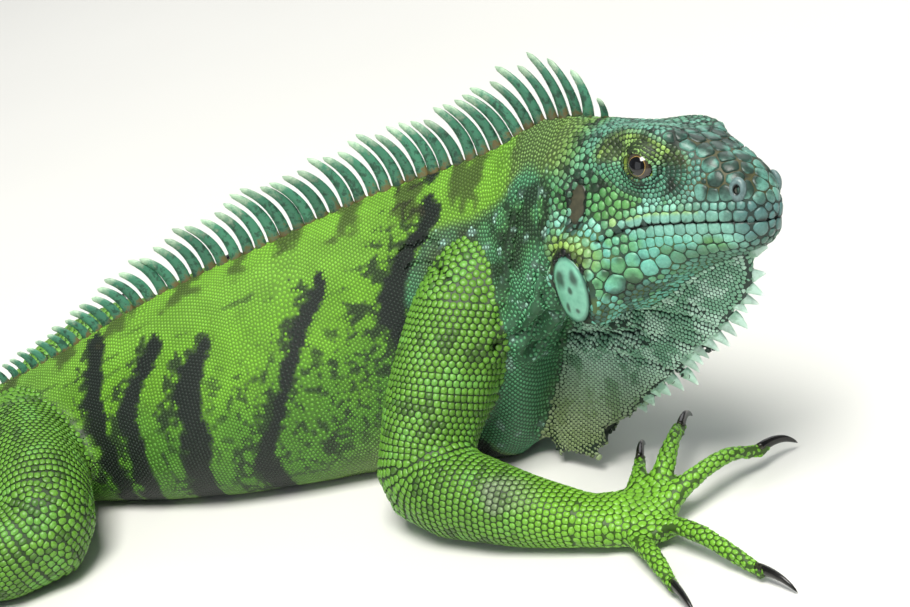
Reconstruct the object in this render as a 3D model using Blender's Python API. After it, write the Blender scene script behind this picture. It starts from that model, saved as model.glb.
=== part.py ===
"""Green iguana, life size: a still model resting on its belly, cut into its named body parts.

Metres, +Z up. The head points towards +X and the floor is z = 0. Lengths below are in millimetres
and are turned into metres by MM where a mesh is made.
"""

import math

import bmesh
import bpy
import numpy as np
from mathutils import Matrix, Vector

MM = 0.001

# Accuracy: each group of lofts is fused on a voxel grid, smoothed and thinned to its share of triangles
VOXEL = 1.25
SMOOTH_PASSES = 5
TRIANGLES = {"core": 1900, "dewlap": 200, "arm": 340, "leg": 370}
FLAT_REACH = 0.25       # whatever lies lower than this after thinning belongs to a flat
GAP = 0.3               # clearance between two pieces that touch
WELD = 0.02             # points closer than this are made one
RING = 28               # points around a lofted section
STEPS = 5               # loft rings between two named stations

# Head: its own axes have x = 0 at the snout tip and run back to negative x, z up, y to its left
HEAD_AT = (129.3, -43.3, 104.2)
HEAD_YAW = -14.5
HEAD_PITCH = 2.0
HEAD_ROLL = -18.0
EYE_AT = (-36.0, 12.0, 11.3)
EYE_RADIUS = 6.3
TYMPANUM_AT = (-58.6, 19.8, -1.0)
TYMPANUM_SIZE = (3.6, 1.3, 6.6)
JOWL_PLATE_AT = (-59.0, 26.4, -26.5)
JOWL_PLATE_SIZE = (7.6, 2.4, 10.6)

# Half outlines of the head's sections, from the top middle to the bottom middle: (width, height)
HEAD_SECTIONS = {
    1.0: [(0, 2.8), (3.0, 1.6), (4.2, -2.0), (3.4, -6.0), (0, -7.6)],
    -2.5: [(0, 8.4), (4.4, 7.6), (7.6, 3.6), (8.2, -2.4), (7.6, -7.4), (4.8, -11.0), (0, -12.2)],
    -8.0: [(0, 13.2), (5.6, 12.6), (9.6, 8.0), (11.0, -1.4), (10.4, -7.0), (7.6, -12.4), (0, -14.2)],
    -19.0: [(0, 18.0), (7.4, 17.6), (11.0, 13.4), (14.4, -1.8), (14.0, -8.2), (9.6, -15.4), (0, -17.6)],
    -28.0: [(0, 20.8), (8.8, 21.2), (12.6, 17.6), (16.2, -2.4), (16.6, -9.6), (12.4, -19.8), (0, -22.0)],
    -36.5: [(0, 21.6), (10.0, 23.2), (14.0, 20.0), (17.0, -3.0), (18.6, -12.0), (16.0, -25.0), (0, -27.0)],
    -46.0: [(0, 21.6), (10.4, 22.0), (15.0, 17.0), (19.4, -3.4), (22.4, -16.0), (20.4, -31.0), (0, -33.0)],
    -56.0: [(0, 22.6), (10.2, 20.6), (15.8, 14.2), (20.2, -2.0), (25.4, -18.0), (25.0, -31.5), (0, -36.0)],
    -66.0: [(0, 22.8), (9.6, 19.2), (16.0, 12.4), (19.6, -2.0), (23.0, -18.0), (20.6, -30.5), (0, -36.0)],
    -78.0: [(0, 22.6), (8.4, 18.0), (15.4, 10.0), (18.4, -3.0), (18.6, -17.0), (14.6, -28.0), (0, -35.0)],
}
# The two eyes, brows, nostrils, jowls and temples: centre and half sizes, mirrored across the head
HEAD_LUMPS = [
    ((-36.0, 11.6, 11.0), (9.5, 5.9, 7.8)),
    ((-35.0, 10.6, 20.0), (11.0, 3.6, 3.4)),
    ((-7.2, 7.4, 5.2), (3.4, 3.2, 3.4)),
    ((-56.0, 17.0, -24.5), (13.0, 10.6, 14.0)),
    ((-50.0, 13.4, 9.0), (9.0, 5.2, 8.0)),
]
MOUTH_LINE = [(5.0, -3.4), (-8.0, -3.6), (-20.0, -4.2), (-32.0, -5.4), (-46.0, -9.5)]
JAW_REAR = [(-48.4, -12.5), (-49.0, -20.0), (-47.5, -50.0)]
HEAD_REAR = -71.0

# Trunk stations from the neck to the tail root: x, y, top, bottom, half width, sideways lean per height
TRUNK = [
    (54.0, -22.0, 123.0, 64.0, 20.0, 0.26),
    (36.0, -14.0, 118.5, 46.0, 24.0, 0.14),
    (17.0, -9.5, 109.0, 7.0, 31.0, 0.05),
    (-3.0, -8.0, 103.0, -1.2, 36.0, 0.0),
    (-24.0, -9.0, 97.5, -1.2, 39.5, 0.0),
    (-50.0, -15.0, 90.5, -1.2, 42.5, 0.0),
    (-78.0, -26.0, 82.5, -1.2, 44.0, 0.0),
    (-105.0, -37.0, 75.5, -1.2, 42.5, 0.0),
    (-131.0, -47.0, 67.0, -1.2, 37.0, 0.0),
    (-156.0, -56.0, 57.0, -1.0, 30.0, 0.0),
    (-184.0, -66.0, 47.0, -0.6, 24.0, 0.0),
    (-212.0, -76.0, 40.0, -0.6, 19.0, 0.0),
]
TRUNK_CUTS = (31.0, -62.0, -127.0, -206.0)      # x of each cut through the trunk
TAIL_CUTS = (0.13, 0.29, 0.48, 0.72)     # shares of the tail's length
TAIL_LENGTH = 800.0
TAIL_HEADING = 199.0         # degrees, the way the tail leaves the trunk
TAIL_SWING = (-46.0, 62.0)   # degrees the tail turns over its first and its second half
TAIL_ROOT = (40.6, 18.5)     # height and half width
TAIL_TIP = (2.4, 1.1)

# Dewlap: a sheet of skin under the jaw, as upright columns: x, y at top, top, y at bottom, bottom
DEWLAP = [
    (121.0, -45.5, 93.0, -46.0, 80.0),
    (112.0, -43.5, 90.0, -43.0, 70.0),
    (98.0, -41.0, 84.0, -39.0, 56.0),
    (82.0, -37.0, 78.0, -34.0, 41.5),
    (68.0, -31.0, 72.0, -31.0, 28.5),
    (54.0, -25.0, 68.0, -31.0, 13.0),
    (42.0, -19.0, 60.0, -35.0, 3.6),
    (28.0, -14.0, 46.0, -34.0, 2.6),
    (14.0, -11.0, 30.0, -26.0, 7.0),
]
DEWLAP_THICK = (4.6, 1.7)    # half thickness at the top and at the edge
BEARD_COLUMNS = (119.0, 66.0)   # the spikes stand on the edge between these two places along x
BEARD_COUNT = 12
BEARD_SIZE = (4.8, 2.2, 0.9)    # length, half width along the edge, half thickness

# Limbs: joint paths as (x, y, z, half width, half height)
ARM_RIGHT = [
    (10.0, -20.0, 66.0, 19.0, 20.0), (5.0, -37.0, 56.0, 18.5, 19.5), (-2.0, -54.0, 36.0, 16.5, 18.0),
    (-5.5, -66.5, 17.5, 15.5, 16.0),
]
FOREARM_RIGHT = [
    (-5.5, -66.5, 15.2, 15.0, 15.6), (10.0, -71.0, 14.8, 15.2, 15.6), (34.0, -73.0, 11.8, 12.6, 12.4),
    (56.0, -71.0, 8.4, 10.4, 8.8), (66.0, -67.0, 6.8, 12.4, 7.2), (76.0, -64.0, 5.6, 11.6, 5.8),
]
HAND_RIGHT = {
    "1": [(67.0, -58.0, 7.0), (64.0, -47.0, 10.0), (60.0, -37.0, 8.6)],
    "2": [(74.0, -58.0, 7.0), (74.0, -45.0, 14.0), (72.0, -33.0, 16.0), (70.0, -24.0, 13.0)],
    "3": [(79.0, -61.0, 7.0), (86.0, -48.0, 12.5), (92.0, -36.0, 12.5), (98.0, -25.0, 7.0)],
    "4": [(80.0, -67.0, 6.0), (93.0, -71.0, 8.2), (107.0, -76.0, 6.4), (120.0, -81.0, 2.7)],
    "5": [(74.0, -73.0, 6.0), (82.0, -80.0, 7.2), (90.0, -87.0, 5.4), (97.0, -93.0, 2.7)],
}
ARM_LEFT = [
    (8.0, 4.0, 64.0, 19.0, 20.0), (2.0, 22.0, 54.0, 18.0, 19.5), (-8.0, 37.0, 34.0, 16.5, 18.0),
    (-17.0, 47.0, 17.5, 15.5, 16.0),
]
FOREARM_LEFT = [
    (-17.0, 47.0, 15.2, 15.0, 15.6), (-32.0, 51.0, 14.2, 15.0, 15.0), (-54.0, 55.0, 11.2, 12.4, 12.0),
    (-75.0, 58.0, 8.2, 10.4, 8.6), (-85.0, 60.0, 6.6, 12.4, 7.0), (-94.0, 61.0, 5.4, 11.6, 5.8),
]
# Digits on the floor: x and y of the knuckle, heading in degrees, length
HAND_LEFT = {
    "1": (-88.0, 68.0, 97.0, 19.0),
    "2": (-95.0, 69.0, 122.0, 30.0),
    "3": (-99.0, 65.0, 146.0, 38.0),
    "4": (-99.0, 59.0, 176.0, 40.0),
    "5": (-94.0, 54.0, 204.0, 27.0),
}

# Hind legs, in the hip's own axes: forward, outward, height, half width, half height
HIP_AT = (-172.0, -61.5)
HIP_HEADING = 19.5       # degrees from +X, the way the pelvis faces
THIGH = [
    (-10.0, 6.0, 26.0, 19.0, 20.0), (-4.0, 26.0, 27.0, 21.0, 21.0), (9.0, 48.0, 26.0, 19.5, 21.0),
    (20.0, 66.0, 21.0, 16.0, 17.5),
]
SHIN = [
    (20.0, 67.0, 18.0, 15.0, 16.4), (4.0, 74.0, 16.0, 15.0, 16.4), (-20.0, 78.0, 12.0, 12.0, 12.6),
    (-42.0, 80.0, 9.0, 10.0, 9.8),
]
FOOT = [
    (-42.0, 80.0, 8.4, 10.2, 9.0), (-36.0, 90.0, 7.2, 10.6, 7.6), (-28.0, 102.0, 6.0, 12.0, 6.6),
    (-19.0, 114.0, 5.2, 12.0, 5.8),
]
TOES = {
    "1": (-18.0, 100.0, 12.0, 18.0),
    "2": (-12.5, 109.0, 30.0, 30.0),
    "3": (-13.0, 116.0, 47.0, 42.0),
    "4": (-18.0, 121.0, 64.0, 54.0),
    "5": (-33.0, 113.0, 98.0, 32.0),
}
KNUCKLE_HEIGHT = 5.4
DIGIT_ARCH = 3.4             # how far a digit's middle rises
DIGIT_RADIUS = (4.3, 3.2)    # at the knuckle and at the tip
CLAW_LENGTH = 11.0
CLAW_BASE = (1.7, 2.4)       # half width and half height
CLAW_BURIED = 2.0            # how far a claw's root sits inside its digit

# Crest: spines along the top, by distance from the nape
CREST_SPACING = 5.2
CREST_HEIGHTS = [
    (0.0, 2.0), (4.0, 3.4), (8.0, 8.0), (13.0, 16.5), (24.0, 20.0), (60.0, 18.0), (110.0, 19.0),
    (160.0, 19.5), (195.0, 17.0), (225.0, 13.0), (250.0, 10.0), (290.0, 6.5), (340.0, 4.0),
]
CREST_END = 340.0
CREST_HALF_THICK = 1.7       # of a spine's root, under the skin
CREST_LEAN = 22.0            # degrees back from upright
CREST_LEAN_REAR = 16.0       # added over the pelvis
CREST_ROOTED = 2.0           # depth of a spine's root under the skin
CREST_FOLD = 0.7             # height of the fold of skin that the spines stand on
CREST_END_REACH = 0.35       # how far a row runs past its last spine, in spacings, clear of the next row

COLOURS = {
    "head": (0.14, 0.34, 0.30), "jaw": (0.25, 0.45, 0.36), "eye": (0.10, 0.07, 0.04),
    "tympanum": (0.30, 0.27, 0.20), "jowl_plate": (0.38, 0.62, 0.58), "dewlap": (0.36, 0.48, 0.34),
    "neck": (0.13, 0.36, 0.16), "trunk": (0.18, 0.50, 0.04), "tail": (0.22, 0.42, 0.10),
    "limb": (0.12, 0.48, 0.03), "claw": (0.02, 0.02, 0.02),
}


# ---------------------------------------------------------------- scene and materials

def clear_scene():
    for item in list(bpy.data.objects):
        bpy.data.objects.remove(item, do_unlink=True)


def make_material(name, colour, roughness):
    material = bpy.data.materials.new(name)
    material.use_nodes = True
    shader = material.node_tree.nodes["Principled BSDF"]
    shader.inputs["Base Color"].default_value = (*colour, 1.0)
    shader.inputs["Roughness"].default_value = roughness
    shader.inputs["Metallic"].default_value = 0.0
    material.diffuse_color = (*colour, 1.0)
    return material


def finish_node(item):
    """Gives a finished piece its own material, by the words in its name."""
    words = [word for word in COLOURS if word in item.name]
    colour = COLOURS[words[0]] if words else COLOURS["limb"]
    roughness = 0.15 if words and words[0] in ("eye", "claw") else 0.6
    item.data.materials.clear()
    item.data.materials.append(make_material(item.name, colour, roughness))
    item.data.shade_smooth()
    item.data.set_sharp_from_angle(angle=math.radians(50))


# ---------------------------------------------------------------- curves and sections

def spline(points, steps):
    """A smooth curve through the points (Catmull-Rom), as an array with the same columns."""
    knots = np.array(points, dtype=float)
    ends = np.vstack([2 * knots[0] - knots[1], knots, 2 * knots[-1] - knots[-2]])
    rows = []
    for i in range(1, len(ends) - 2):
        before, here, there, after = ends[i - 1:i + 3]
        for step in range(steps):
            t = step / steps
            rows.append(0.5 * (2 * here + (there - before) * t
                               + (2 * before - 5 * here + 4 * there - after) * t ** 2
                               + (3 * here - before - 3 * there + after) * t ** 3))
    rows.append(knots[-1])
    return np.array(rows)


def distances_along(points):
    lengths = np.linalg.norm(np.diff(points, axis=0), axis=1)
    return np.concatenate([[0.0], np.cumsum(lengths)])


def resample(points, count):
    """The same curve with its points at equal distances along it."""
    points = np.array(points, dtype=float)
    along = distances_along(points)
    wanted = np.linspace(0.0, along[-1], count)
    return np.column_stack([np.interp(wanted, along, column) for column in points.T])


def unit(vector):
    vector = np.array(vector, dtype=float)
    return vector / np.linalg.norm(vector)


def closed_section(half):
    """A closed outline from its right half, which runs from the top middle to the bottom middle."""
    before = [(-half[1][0], half[1][1])]
    after = [(-half[-2][0], half[-2][1])]
    smooth = spline(before + list(half) + after, 6)[6:-6]
    right = resample(smooth, RING // 2 + 1)
    left = right[1:-1][::-1] * np.array([-1.0, 1.0])
    return np.vstack([right, left])


def trunk_half(top, bottom, width):
    """Right half of a trunk section: a narrow ridge above, full low flanks and a flat belly."""
    height = top - bottom
    return [(0, top), (0.24 * width, top - 0.055 * height), (0.60 * width, top - 0.24 * height),
            (0.90 * width, top - 0.48 * height), (width, bottom + 0.30 * height),
            (0.90 * width, bottom + 0.10 * height), (0.60 * width, bottom), (0, bottom)]


# ---------------------------------------------------------------- meshes

def object_from(shape, name):
    """An object from a bmesh of a closed body, turned right side out; the bmesh is freed."""
    if shape.calc_volume(signed=True) < 0:
        bmesh.ops.reverse_faces(shape, faces=shape.faces)
    shape.normal_update()
    mesh = bpy.data.meshes.new(name)
    shape.to_mesh(mesh)
    shape.free()
    item = bpy.data.objects.new(name, mesh)
    bpy.context.scene.collection.objects.link(item)
    return item


def loft(name, rings):
    """A closed body through rings of points (millimetres), with flat ends."""
    shape = bmesh.new()
    loops = [[shape.verts.new(Vector(point) * MM) for point in ring] for ring in rings]
    count = len(loops[0])
    for first, second in zip(loops, loops[1:]):
        for i in range(count):
            k = (i + 1) % count
            shape.faces.new((first[i], first[k], second[k], second[i]))
    shape.faces.new(loops[0][::-1])
    shape.faces.new(loops[-1])
    return object_from(shape, name)


def tube(name, stations, count=16, steps=STEPS, rounded=True):
    """A limb: elliptic rings across a path of (x, y, z, half width, half height), with round ends."""
    path = spline(stations, steps)
    tangents = np.gradient(path[:, :3], axis=0)
    angles = np.linspace(0.0, 2 * math.pi, count, endpoint=False)

    def ring(row, tangent, share=1.0, shift=0.0):
        tangent = unit(tangent)
        side = unit(np.cross(tangent, (0.0, 0.0, 1.0)))
        upward = np.cross(side, tangent)
        centre = row[:3] + tangent * shift
        wide, tall = row[3] * share, row[4] * share
        return [centre + side * wide * math.cos(a) + upward * tall * math.sin(a) for a in angles]

    rings = [ring(row, tangent) for row, tangent in zip(path, tangents)]
    if rounded:
        for share in (0.96, 0.75, 0.35):
            reach = 0.8 * math.sqrt(1 - share ** 2)
            rings.insert(0, ring(path[0], tangents[0], share, -reach * path[0, 3]))
            rings.append(ring(path[-1], tangents[-1], share, reach * path[-1, 3]))
    return loft(name, rings)


def ellipsoid(name, centre, sizes, turn=Matrix.Identity(3), segments=20, rings=12):
    shape = bmesh.new()
    bmesh.ops.create_uvsphere(shape, u_segments=segments, v_segments=rings, radius=1.0)
    stretch = Matrix.Diagonal(Vector(sizes) * MM)
    for vert in shape.verts:
        vert.co = turn @ (stretch @ vert.co) + Vector(centre) * MM
    return object_from(shape, name)


def slab(centre, normal, half_width, half_height):
    """A thin upright box, as thick as the gap, that parts the body at a joint."""
    shape = bmesh.new()
    bmesh.ops.create_cube(shape, size=2.0)
    normal = Vector(normal).normalized()
    side = normal.cross(Vector((0, 0, 1))).normalized()
    upward = side.cross(normal)
    for vert in shape.verts:
        x, y, z = vert.co
        place = Vector(centre) + normal * x * GAP / 2 + side * y * half_width + upward * z * half_height
        vert.co = place * MM
    return object_from(shape, "slab")


def ribbon(line, half_width, place):
    """A thin bent sheet along a line of (x, z), wide across y; place turns it into the world."""
    line = spline(line, 3)
    tangents = np.gradient(line, axis=0)
    rings = []
    for point, tangent in zip(line, tangents):
        shift = unit((-tangent[1], tangent[0])) * GAP / 2
        above, below = point + shift, point - shift
        rings.append([place((above[0], -half_width, above[1])), place((above[0], half_width, above[1])),
                      place((below[0], half_width, below[1])), place((below[0], -half_width, below[1]))])
    return loft("ribbon", rings)


def select_only(items):
    bpy.ops.object.select_all(action="DESELECT")
    for item in items:
        item.select_set(True)
    bpy.context.view_layer.objects.active = items[0]


def join(items, name):
    select_only(items)
    if len(items) > 1:
        bpy.ops.object.join()
    items[0].name = name
    return items[0]


def apply_modifier(item, kind, **settings):
    modifier = item.modifiers.new(kind.title(), kind)
    for key, value in settings.items():
        setattr(modifier, key, value)
    select_only([item])
    bpy.ops.object.modifier_apply(modifier=modifier.name)


def weld(item):
    """Closes up the slivers that a cut leaves, and makes every face a triangle."""
    shape = bmesh.new()
    shape.from_mesh(item.data)
    bmesh.ops.triangulate(shape, faces=shape.faces)
    bmesh.ops.remove_doubles(shape, verts=shape.verts, dist=WELD * MM)
    bmesh.ops.dissolve_degenerate(shape, edges=shape.edges, dist=WELD * MM)
    bmesh.ops.triangulate(shape, faces=shape.faces)
    shape.to_mesh(item.data)
    shape.free()


def combine(item, other, operation):
    """Cuts or joins another body into item, and removes the other."""
    apply_modifier(item, "BOOLEAN", operation=operation, solver="EXACT", object=other)
    bpy.data.objects.remove(other, do_unlink=True)


def grown(item, distance):
    """A copy of a body with its surface moved outwards."""
    copy = item.copy()
    copy.data = item.data.copy()
    bpy.context.scene.collection.objects.link(copy)
    for vert in copy.data.vertices:
        vert.co += vert.normal * distance * MM
    return copy


def flatten(body, reach):
    """Presses everything lower than reach onto the floor's plane."""
    for vert in body.data.vertices:
        if vert.co.z < reach * MM:
            vert.co.z = 0.0


def fuse(forms, name, triangles):
    """One smooth closed body from overlapping forms, flat where it would go under the floor."""
    body = join(forms, name)
    apply_modifier(body, "REMESH", mode="VOXEL", voxel_size=VOXEL * MM, adaptivity=0.0)
    apply_modifier(body, "SMOOTH", factor=0.5, iterations=SMOOTH_PASSES)
    flatten(body, 0.0)
    faces = 2 * len(body.data.polygons)
    apply_modifier(body, "DECIMATE", ratio=triangles / faces, use_collapse_triangulate=True)
    flatten(body, FLAT_REACH)
    return body


def part(body, labels, smallest=20.0):
    """Splits a cut body into its loose pieces and names each after the nearest label."""
    select_only([body])
    bpy.ops.mesh.separate(type="LOOSE")
    pieces = {}
    for piece in list(bpy.context.selected_objects):
        shape = bmesh.new()
        shape.from_mesh(piece.data)
        volume = shape.calc_volume() / MM ** 3
        shape.free()
        if volume < smallest:
            bpy.data.objects.remove(piece, do_unlink=True)
            continue
        middle = sum((vert.co for vert in piece.data.vertices), Vector()) / len(piece.data.vertices) / MM
        name = min(labels, key=lambda label: (Vector(labels[label]) - middle).length)
        if name in pieces and pieces[name][1] > volume:
            bpy.data.objects.remove(piece, do_unlink=True)
            continue
        if name in pieces:
            bpy.data.objects.remove(pieces[name][0], do_unlink=True)
        pieces[name] = (piece, volume)
    for name, (piece, volume) in pieces.items():
        piece.name = name
    return {name: piece for name, (piece, volume) in pieces.items()}


# ---------------------------------------------------------------- head

HEAD_TURN = (Matrix.Rotation(math.radians(HEAD_YAW), 3, "Z")
             @ Matrix.Rotation(math.radians(-HEAD_PITCH), 3, "Y")
             @ Matrix.Rotation(math.radians(HEAD_ROLL), 3, "X"))


def on_head(point):
    """A point in the head's axes (millimetres), in the world (millimetres)."""
    return HEAD_TURN @ Vector(point) + Vector(HEAD_AT)


def mirrored(point, side):
    """A point on the head's right (side -1) or left (side 1), in the world."""
    return on_head((point[0], side * point[1], point[2]))


def head_forms():
    stations = sorted(HEAD_SECTIONS, reverse=True)
    outlines = np.array([closed_section(HEAD_SECTIONS[x]).ravel() for x in stations])
    table = spline(np.column_stack([stations, outlines]), STEPS)
    rings = []
    for row in table:
        outline = row[1:].reshape(-1, 2)
        rings.append([on_head((row[0], -wide, high)) for wide, high in outline])
    forms = [loft("head_form", rings)]
    for side in (-1, 1):
        forms += [ellipsoid("head_lump", mirrored(at, side), size, HEAD_TURN) for at, size in HEAD_LUMPS]
    return forms


def set_into_head(body, name, at, sizes, segments, rings):
    """A round piece on each side of the head, in a recess that clears it."""
    for word, side in (("right", -1), ("left", 1)):
        place = mirrored(at, side)
        recess = [size + GAP for size in sizes]
        combine(body, ellipsoid("recess", place, recess, HEAD_TURN, segments, rings), "DIFFERENCE")
        finish_node(ellipsoid(f"{name}_{word}", place, sizes, HEAD_TURN, segments, rings))


# ---------------------------------------------------------------- trunk, tail, dewlap

def tail_stations():
    """The tail as trunk stations: it leaves the trunk, swings one way and back, and thins to its tip."""
    x, y = TRUNK[-1][:2]
    heading = TAIL_HEADING
    count = 24
    step = TAIL_LENGTH / count
    rows = []
    for i in range(1, count + 1):
        share = i / count
        heading += TAIL_SWING[0 if share <= 0.5 else 1] * 2 / count
        x += step * math.cos(math.radians(heading))
        y += step * math.sin(math.radians(heading))
        thin = (1 - share) ** 0.86
        height = TAIL_TIP[0] + (TAIL_ROOT[0] - TAIL_TIP[0]) * thin
        width = TAIL_TIP[1] + (TAIL_ROOT[1] - TAIL_TIP[1]) * thin
        rows.append((x, y, height - 0.6, -0.6, width, 0.0))
    return rows


def trunk_path():
    """Smoothed stations from the neck to the tail's tip, and the unit vectors along them in plan."""
    path = spline(TRUNK + tail_stations(), STEPS)
    along = np.gradient(path[:, :2], axis=0)
    along /= np.linalg.norm(along, axis=1)[:, None]
    return path, along


def trunk_form():
    rings = []
    for row, (ahead_x, ahead_y) in zip(*trunk_path()):
        x, y, top, bottom, width, lean = row
        outline = closed_section(trunk_half(top, bottom, width))
        middle = (top + bottom) / 2
        ring = []
        for wide, high in outline:
            across = wide - lean * (high - middle)
            ring.append((x - ahead_y * across, y + ahead_x * across, high))
        rings.append(ring)
    return loft("trunk_form", rings)


def dewlap_form():
    """A wedge of skin: thick under the jaw, thin at its edge."""
    outline = [(0.0, 0.0), (0.1, 0.8), (0.45, 0.8), (0.85, 1.0), (1.0, 0.0)]
    rings = []
    for x, y_top, top, y_bottom, bottom in spline(DEWLAP, STEPS):
        right, left = [], []
        for share, fullness in outline:
            half = fullness * (DEWLAP_THICK[0] * (1 - share) + DEWLAP_THICK[1] * share)
            y = y_top + (y_bottom - y_top) * share ** 1.6
            high = top + (bottom - top) * share
            right.append((x, y - half, high))
            left.append((x, y + half, high))
        rings.append(right + left[1:-1][::-1])
    return loft("dewlap_form", rings)


def beard_spikes():
    """Flat pointed spikes along the dewlap's front edge."""
    edge = spline(DEWLAP, STEPS)[:, [0, 3, 4]]
    keep = (edge[:, 0] <= BEARD_COLUMNS[0]) & (edge[:, 0] >= BEARD_COLUMNS[1])
    roots = resample(edge[keep], BEARD_COUNT)
    tangents = np.gradient(roots, axis=0)
    length, half_along, half_thick = BEARD_SIZE
    spikes = []
    for root, tangent in zip(roots, tangents):
        tangent = unit(tangent)
        side = np.array([0.0, 1.0, 0.0])
        outward = unit(np.cross(side, tangent))
        outward = outward if outward[0] > 0 else -outward
        base = root - outward * 2.0
        tip = root + outward * length
        rings = []
        for centre, share in ((base, 1.0), (tip, 0.3)):
            rings.append([centre + tangent * half_along * share, centre + side * half_thick * share,
                          centre - tangent * half_along * share, centre - side * half_thick * share])
        spikes.append(loft("beard_spike", rings))
    return spikes


# ---------------------------------------------------------------- limbs

def from_hip(side, row):
    """A hind leg's station in the world; side is -1 for the right leg and 1 for the left."""
    turn = math.radians(HIP_HEADING)
    forward, outward = row[:2]
    x = HIP_AT[0] + forward * math.cos(turn) - side * outward * math.sin(turn)
    y = HIP_AT[1] + forward * math.sin(turn) + side * outward * math.cos(turn)
    return (x, y, *row[2:])


def floor_digit(x, y, heading, length):
    """A digit's path from its knuckle to its tip, which rests on the floor."""
    turn = math.radians(heading)
    rows = []
    for t in (0.0, 0.35, 0.7, 1.0):
        high = KNUCKLE_HEIGHT + (DIGIT_RADIUS[1] - 0.5 - KNUCKLE_HEIGHT) * t
        high += DIGIT_ARCH * math.sin(math.pi * min(t * 1.1, 1.0))
        rows.append((x + length * t * math.cos(turn), y + length * t * math.sin(turn), high))
    return rows


def digit_form(name, path):
    root, tip = DIGIT_RADIUS
    reach = np.linspace(0.0, 1.0, len(path))
    rows = [(*point, root + (tip - root) * t, root + (tip - root) * t) for point, t in zip(path, reach)]
    return tube(name, rows, count=12)


def claw_form(name, path, grow=0.0, shares=(0.0, 0.5, 1.0)):
    """A claw that leaves a digit's tip and hooks down; grow thickens it into its socket's cutter."""
    tip, before = np.array(path[-1]), np.array(path[-2])
    heading = tip - before
    heading[2] *= 0.4
    heading = unit(heading)
    start = tip + heading * (DIGIT_RADIUS[1] * 0.8 - CLAW_BURIED)
    start[2] += 0.7
    rows = []
    for t in shares:
        centre = start + heading * (CLAW_LENGTH + CLAW_BURIED) * t
        thin = 1.0 - 0.82 * t
        lowest = CLAW_BASE[1] * thin + 0.35
        centre[2] += 1.9 * math.sin(math.pi * min(t * 1.25, 1.0)) - t - 1.6 * t ** 2
        centre[2] = max(centre[2], lowest)
        rows.append((*centre, CLAW_BASE[0] * thin + grow, CLAW_BASE[1] * thin + grow))
    return tube(name, rows, count=4, steps=1, rounded=False)


def limb(kind, word, tubes, digits, cuts, labels, core):
    """A limb fused from its tubes and digits, cleared of the trunk, parted, with claws set in."""
    forms = [tube("limb_form", path) for path in tubes]
    forms += [digit_form("digit_form", path) for path in digits.values()]
    body = fuse(forms, f"{kind}_{word}", TRIANGLES[kind])
    combine(body, grown(core, GAP), "DIFFERENCE")
    sockets = [claw_form("socket", path, GAP, (0.0, 0.5)) for path in digits.values()]
    combine(body, join(sockets, "sockets"), "DIFFERENCE")
    for centre, normal in cuts:
        combine(body, slab(centre, normal, 36.0, 36.0), "DIFFERENCE")
    for piece in part(body, labels).values():
        finish_node(piece)
    for key, path in digits.items():
        end = "hand" if kind == "arm" else "foot"
        finish_node(claw_form(f"claw_{end}_{word}_{key}", path))


def joint_cut(first, second):
    """The plane that halves the angle between two tubes that meet: its middle and its normal."""
    before = unit(np.array(first[-1][:3]) - np.array(first[-2][:3]))
    after = unit(np.array(second[1][:3]) - np.array(second[0][:3]))
    middle = (np.array(first[-1][:3]) + np.array(second[0][:3])) / 2
    return middle, before + after


def mean_point(path):
    return np.mean([row[:3] for row in path], axis=0)


def arms(core):
    for word, upper, lower, digits in (
            ("right", ARM_RIGHT, FOREARM_RIGHT, HAND_RIGHT),
            ("left", ARM_LEFT, FOREARM_LEFT, {k: floor_digit(*row) for k, row in HAND_LEFT.items()})):
        wrist = (np.array(lower[3][:3]), np.array(lower[4][:3]) - np.array(lower[2][:3]))
        labels = {
            f"upper_arm_{word}": mean_point(upper[1:]),
            f"forearm_{word}": mean_point(lower[:4]),
            f"hand_{word}": mean_point([path[1] for path in digits.values()]),
        }
        limb("arm", word, (upper, lower), digits, (joint_cut(upper, lower), wrist), labels, core)


def legs(core):
    for word, side in (("right", -1), ("left", 1)):
        thigh, shin, foot = ([from_hip(side, row) for row in path] for path in (THIGH, SHIN, FOOT))
        digits = {}
        for key, (forward, outward, heading, length) in TOES.items():
            x, y = from_hip(side, (forward, outward))
            digits[key] = floor_digit(x, y, HIP_HEADING + side * heading, length)
        labels = {
            f"thigh_{word}": mean_point(thigh),
            f"shin_{word}": mean_point(shin),
            f"foot_{word}": mean_point(foot[2:] + [path[1] for path in digits.values()]),
        }
        cuts = (joint_cut(thigh, shin), joint_cut(shin, foot))
        limb("leg", word, (thigh, shin, foot), digits, cuts, labels, core)


# ---------------------------------------------------------------- crest

def crest_roots():
    """Roots of the crest spines: point, forward and outward directions, height and extra lean."""
    path = trunk_path()[0]
    nape = on_head((-58.0, 0.0, 22.4))
    ridge = []
    for x, y, top, bottom, width, lean in path:
        across = -lean * (top - bottom) / 2
        ridge.append((x, y - across, top))
    ridge = np.array([row for row in ridge if row[0] < nape.x - 10.0])
    ridge = spline(resample(np.vstack([[list(nape)], ridge]), 110), 6)
    along = distances_along(ridge)
    roots = []
    distance = 1.5
    while distance < CREST_END:
        point, behind = (np.array([np.interp(d, along, column) for column in ridge.T])
                         for d in (distance, distance + 6.0))
        forward = unit(point - behind)
        side = unit(np.cross((0.0, 0.0, 1.0), forward))
        outward = np.cross(forward, side)
        height = np.interp(distance, *zip(*CREST_HEIGHTS))
        lean = CREST_LEAN_REAR * min(max((distance - 170.0) / 80.0, 0.0), 1.0)
        roots.append((point, forward, outward, height, lean))
        distance += CREST_SPACING * (0.70 + 0.30 * min(height / 15.0, 1.0))
    return roots


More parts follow.
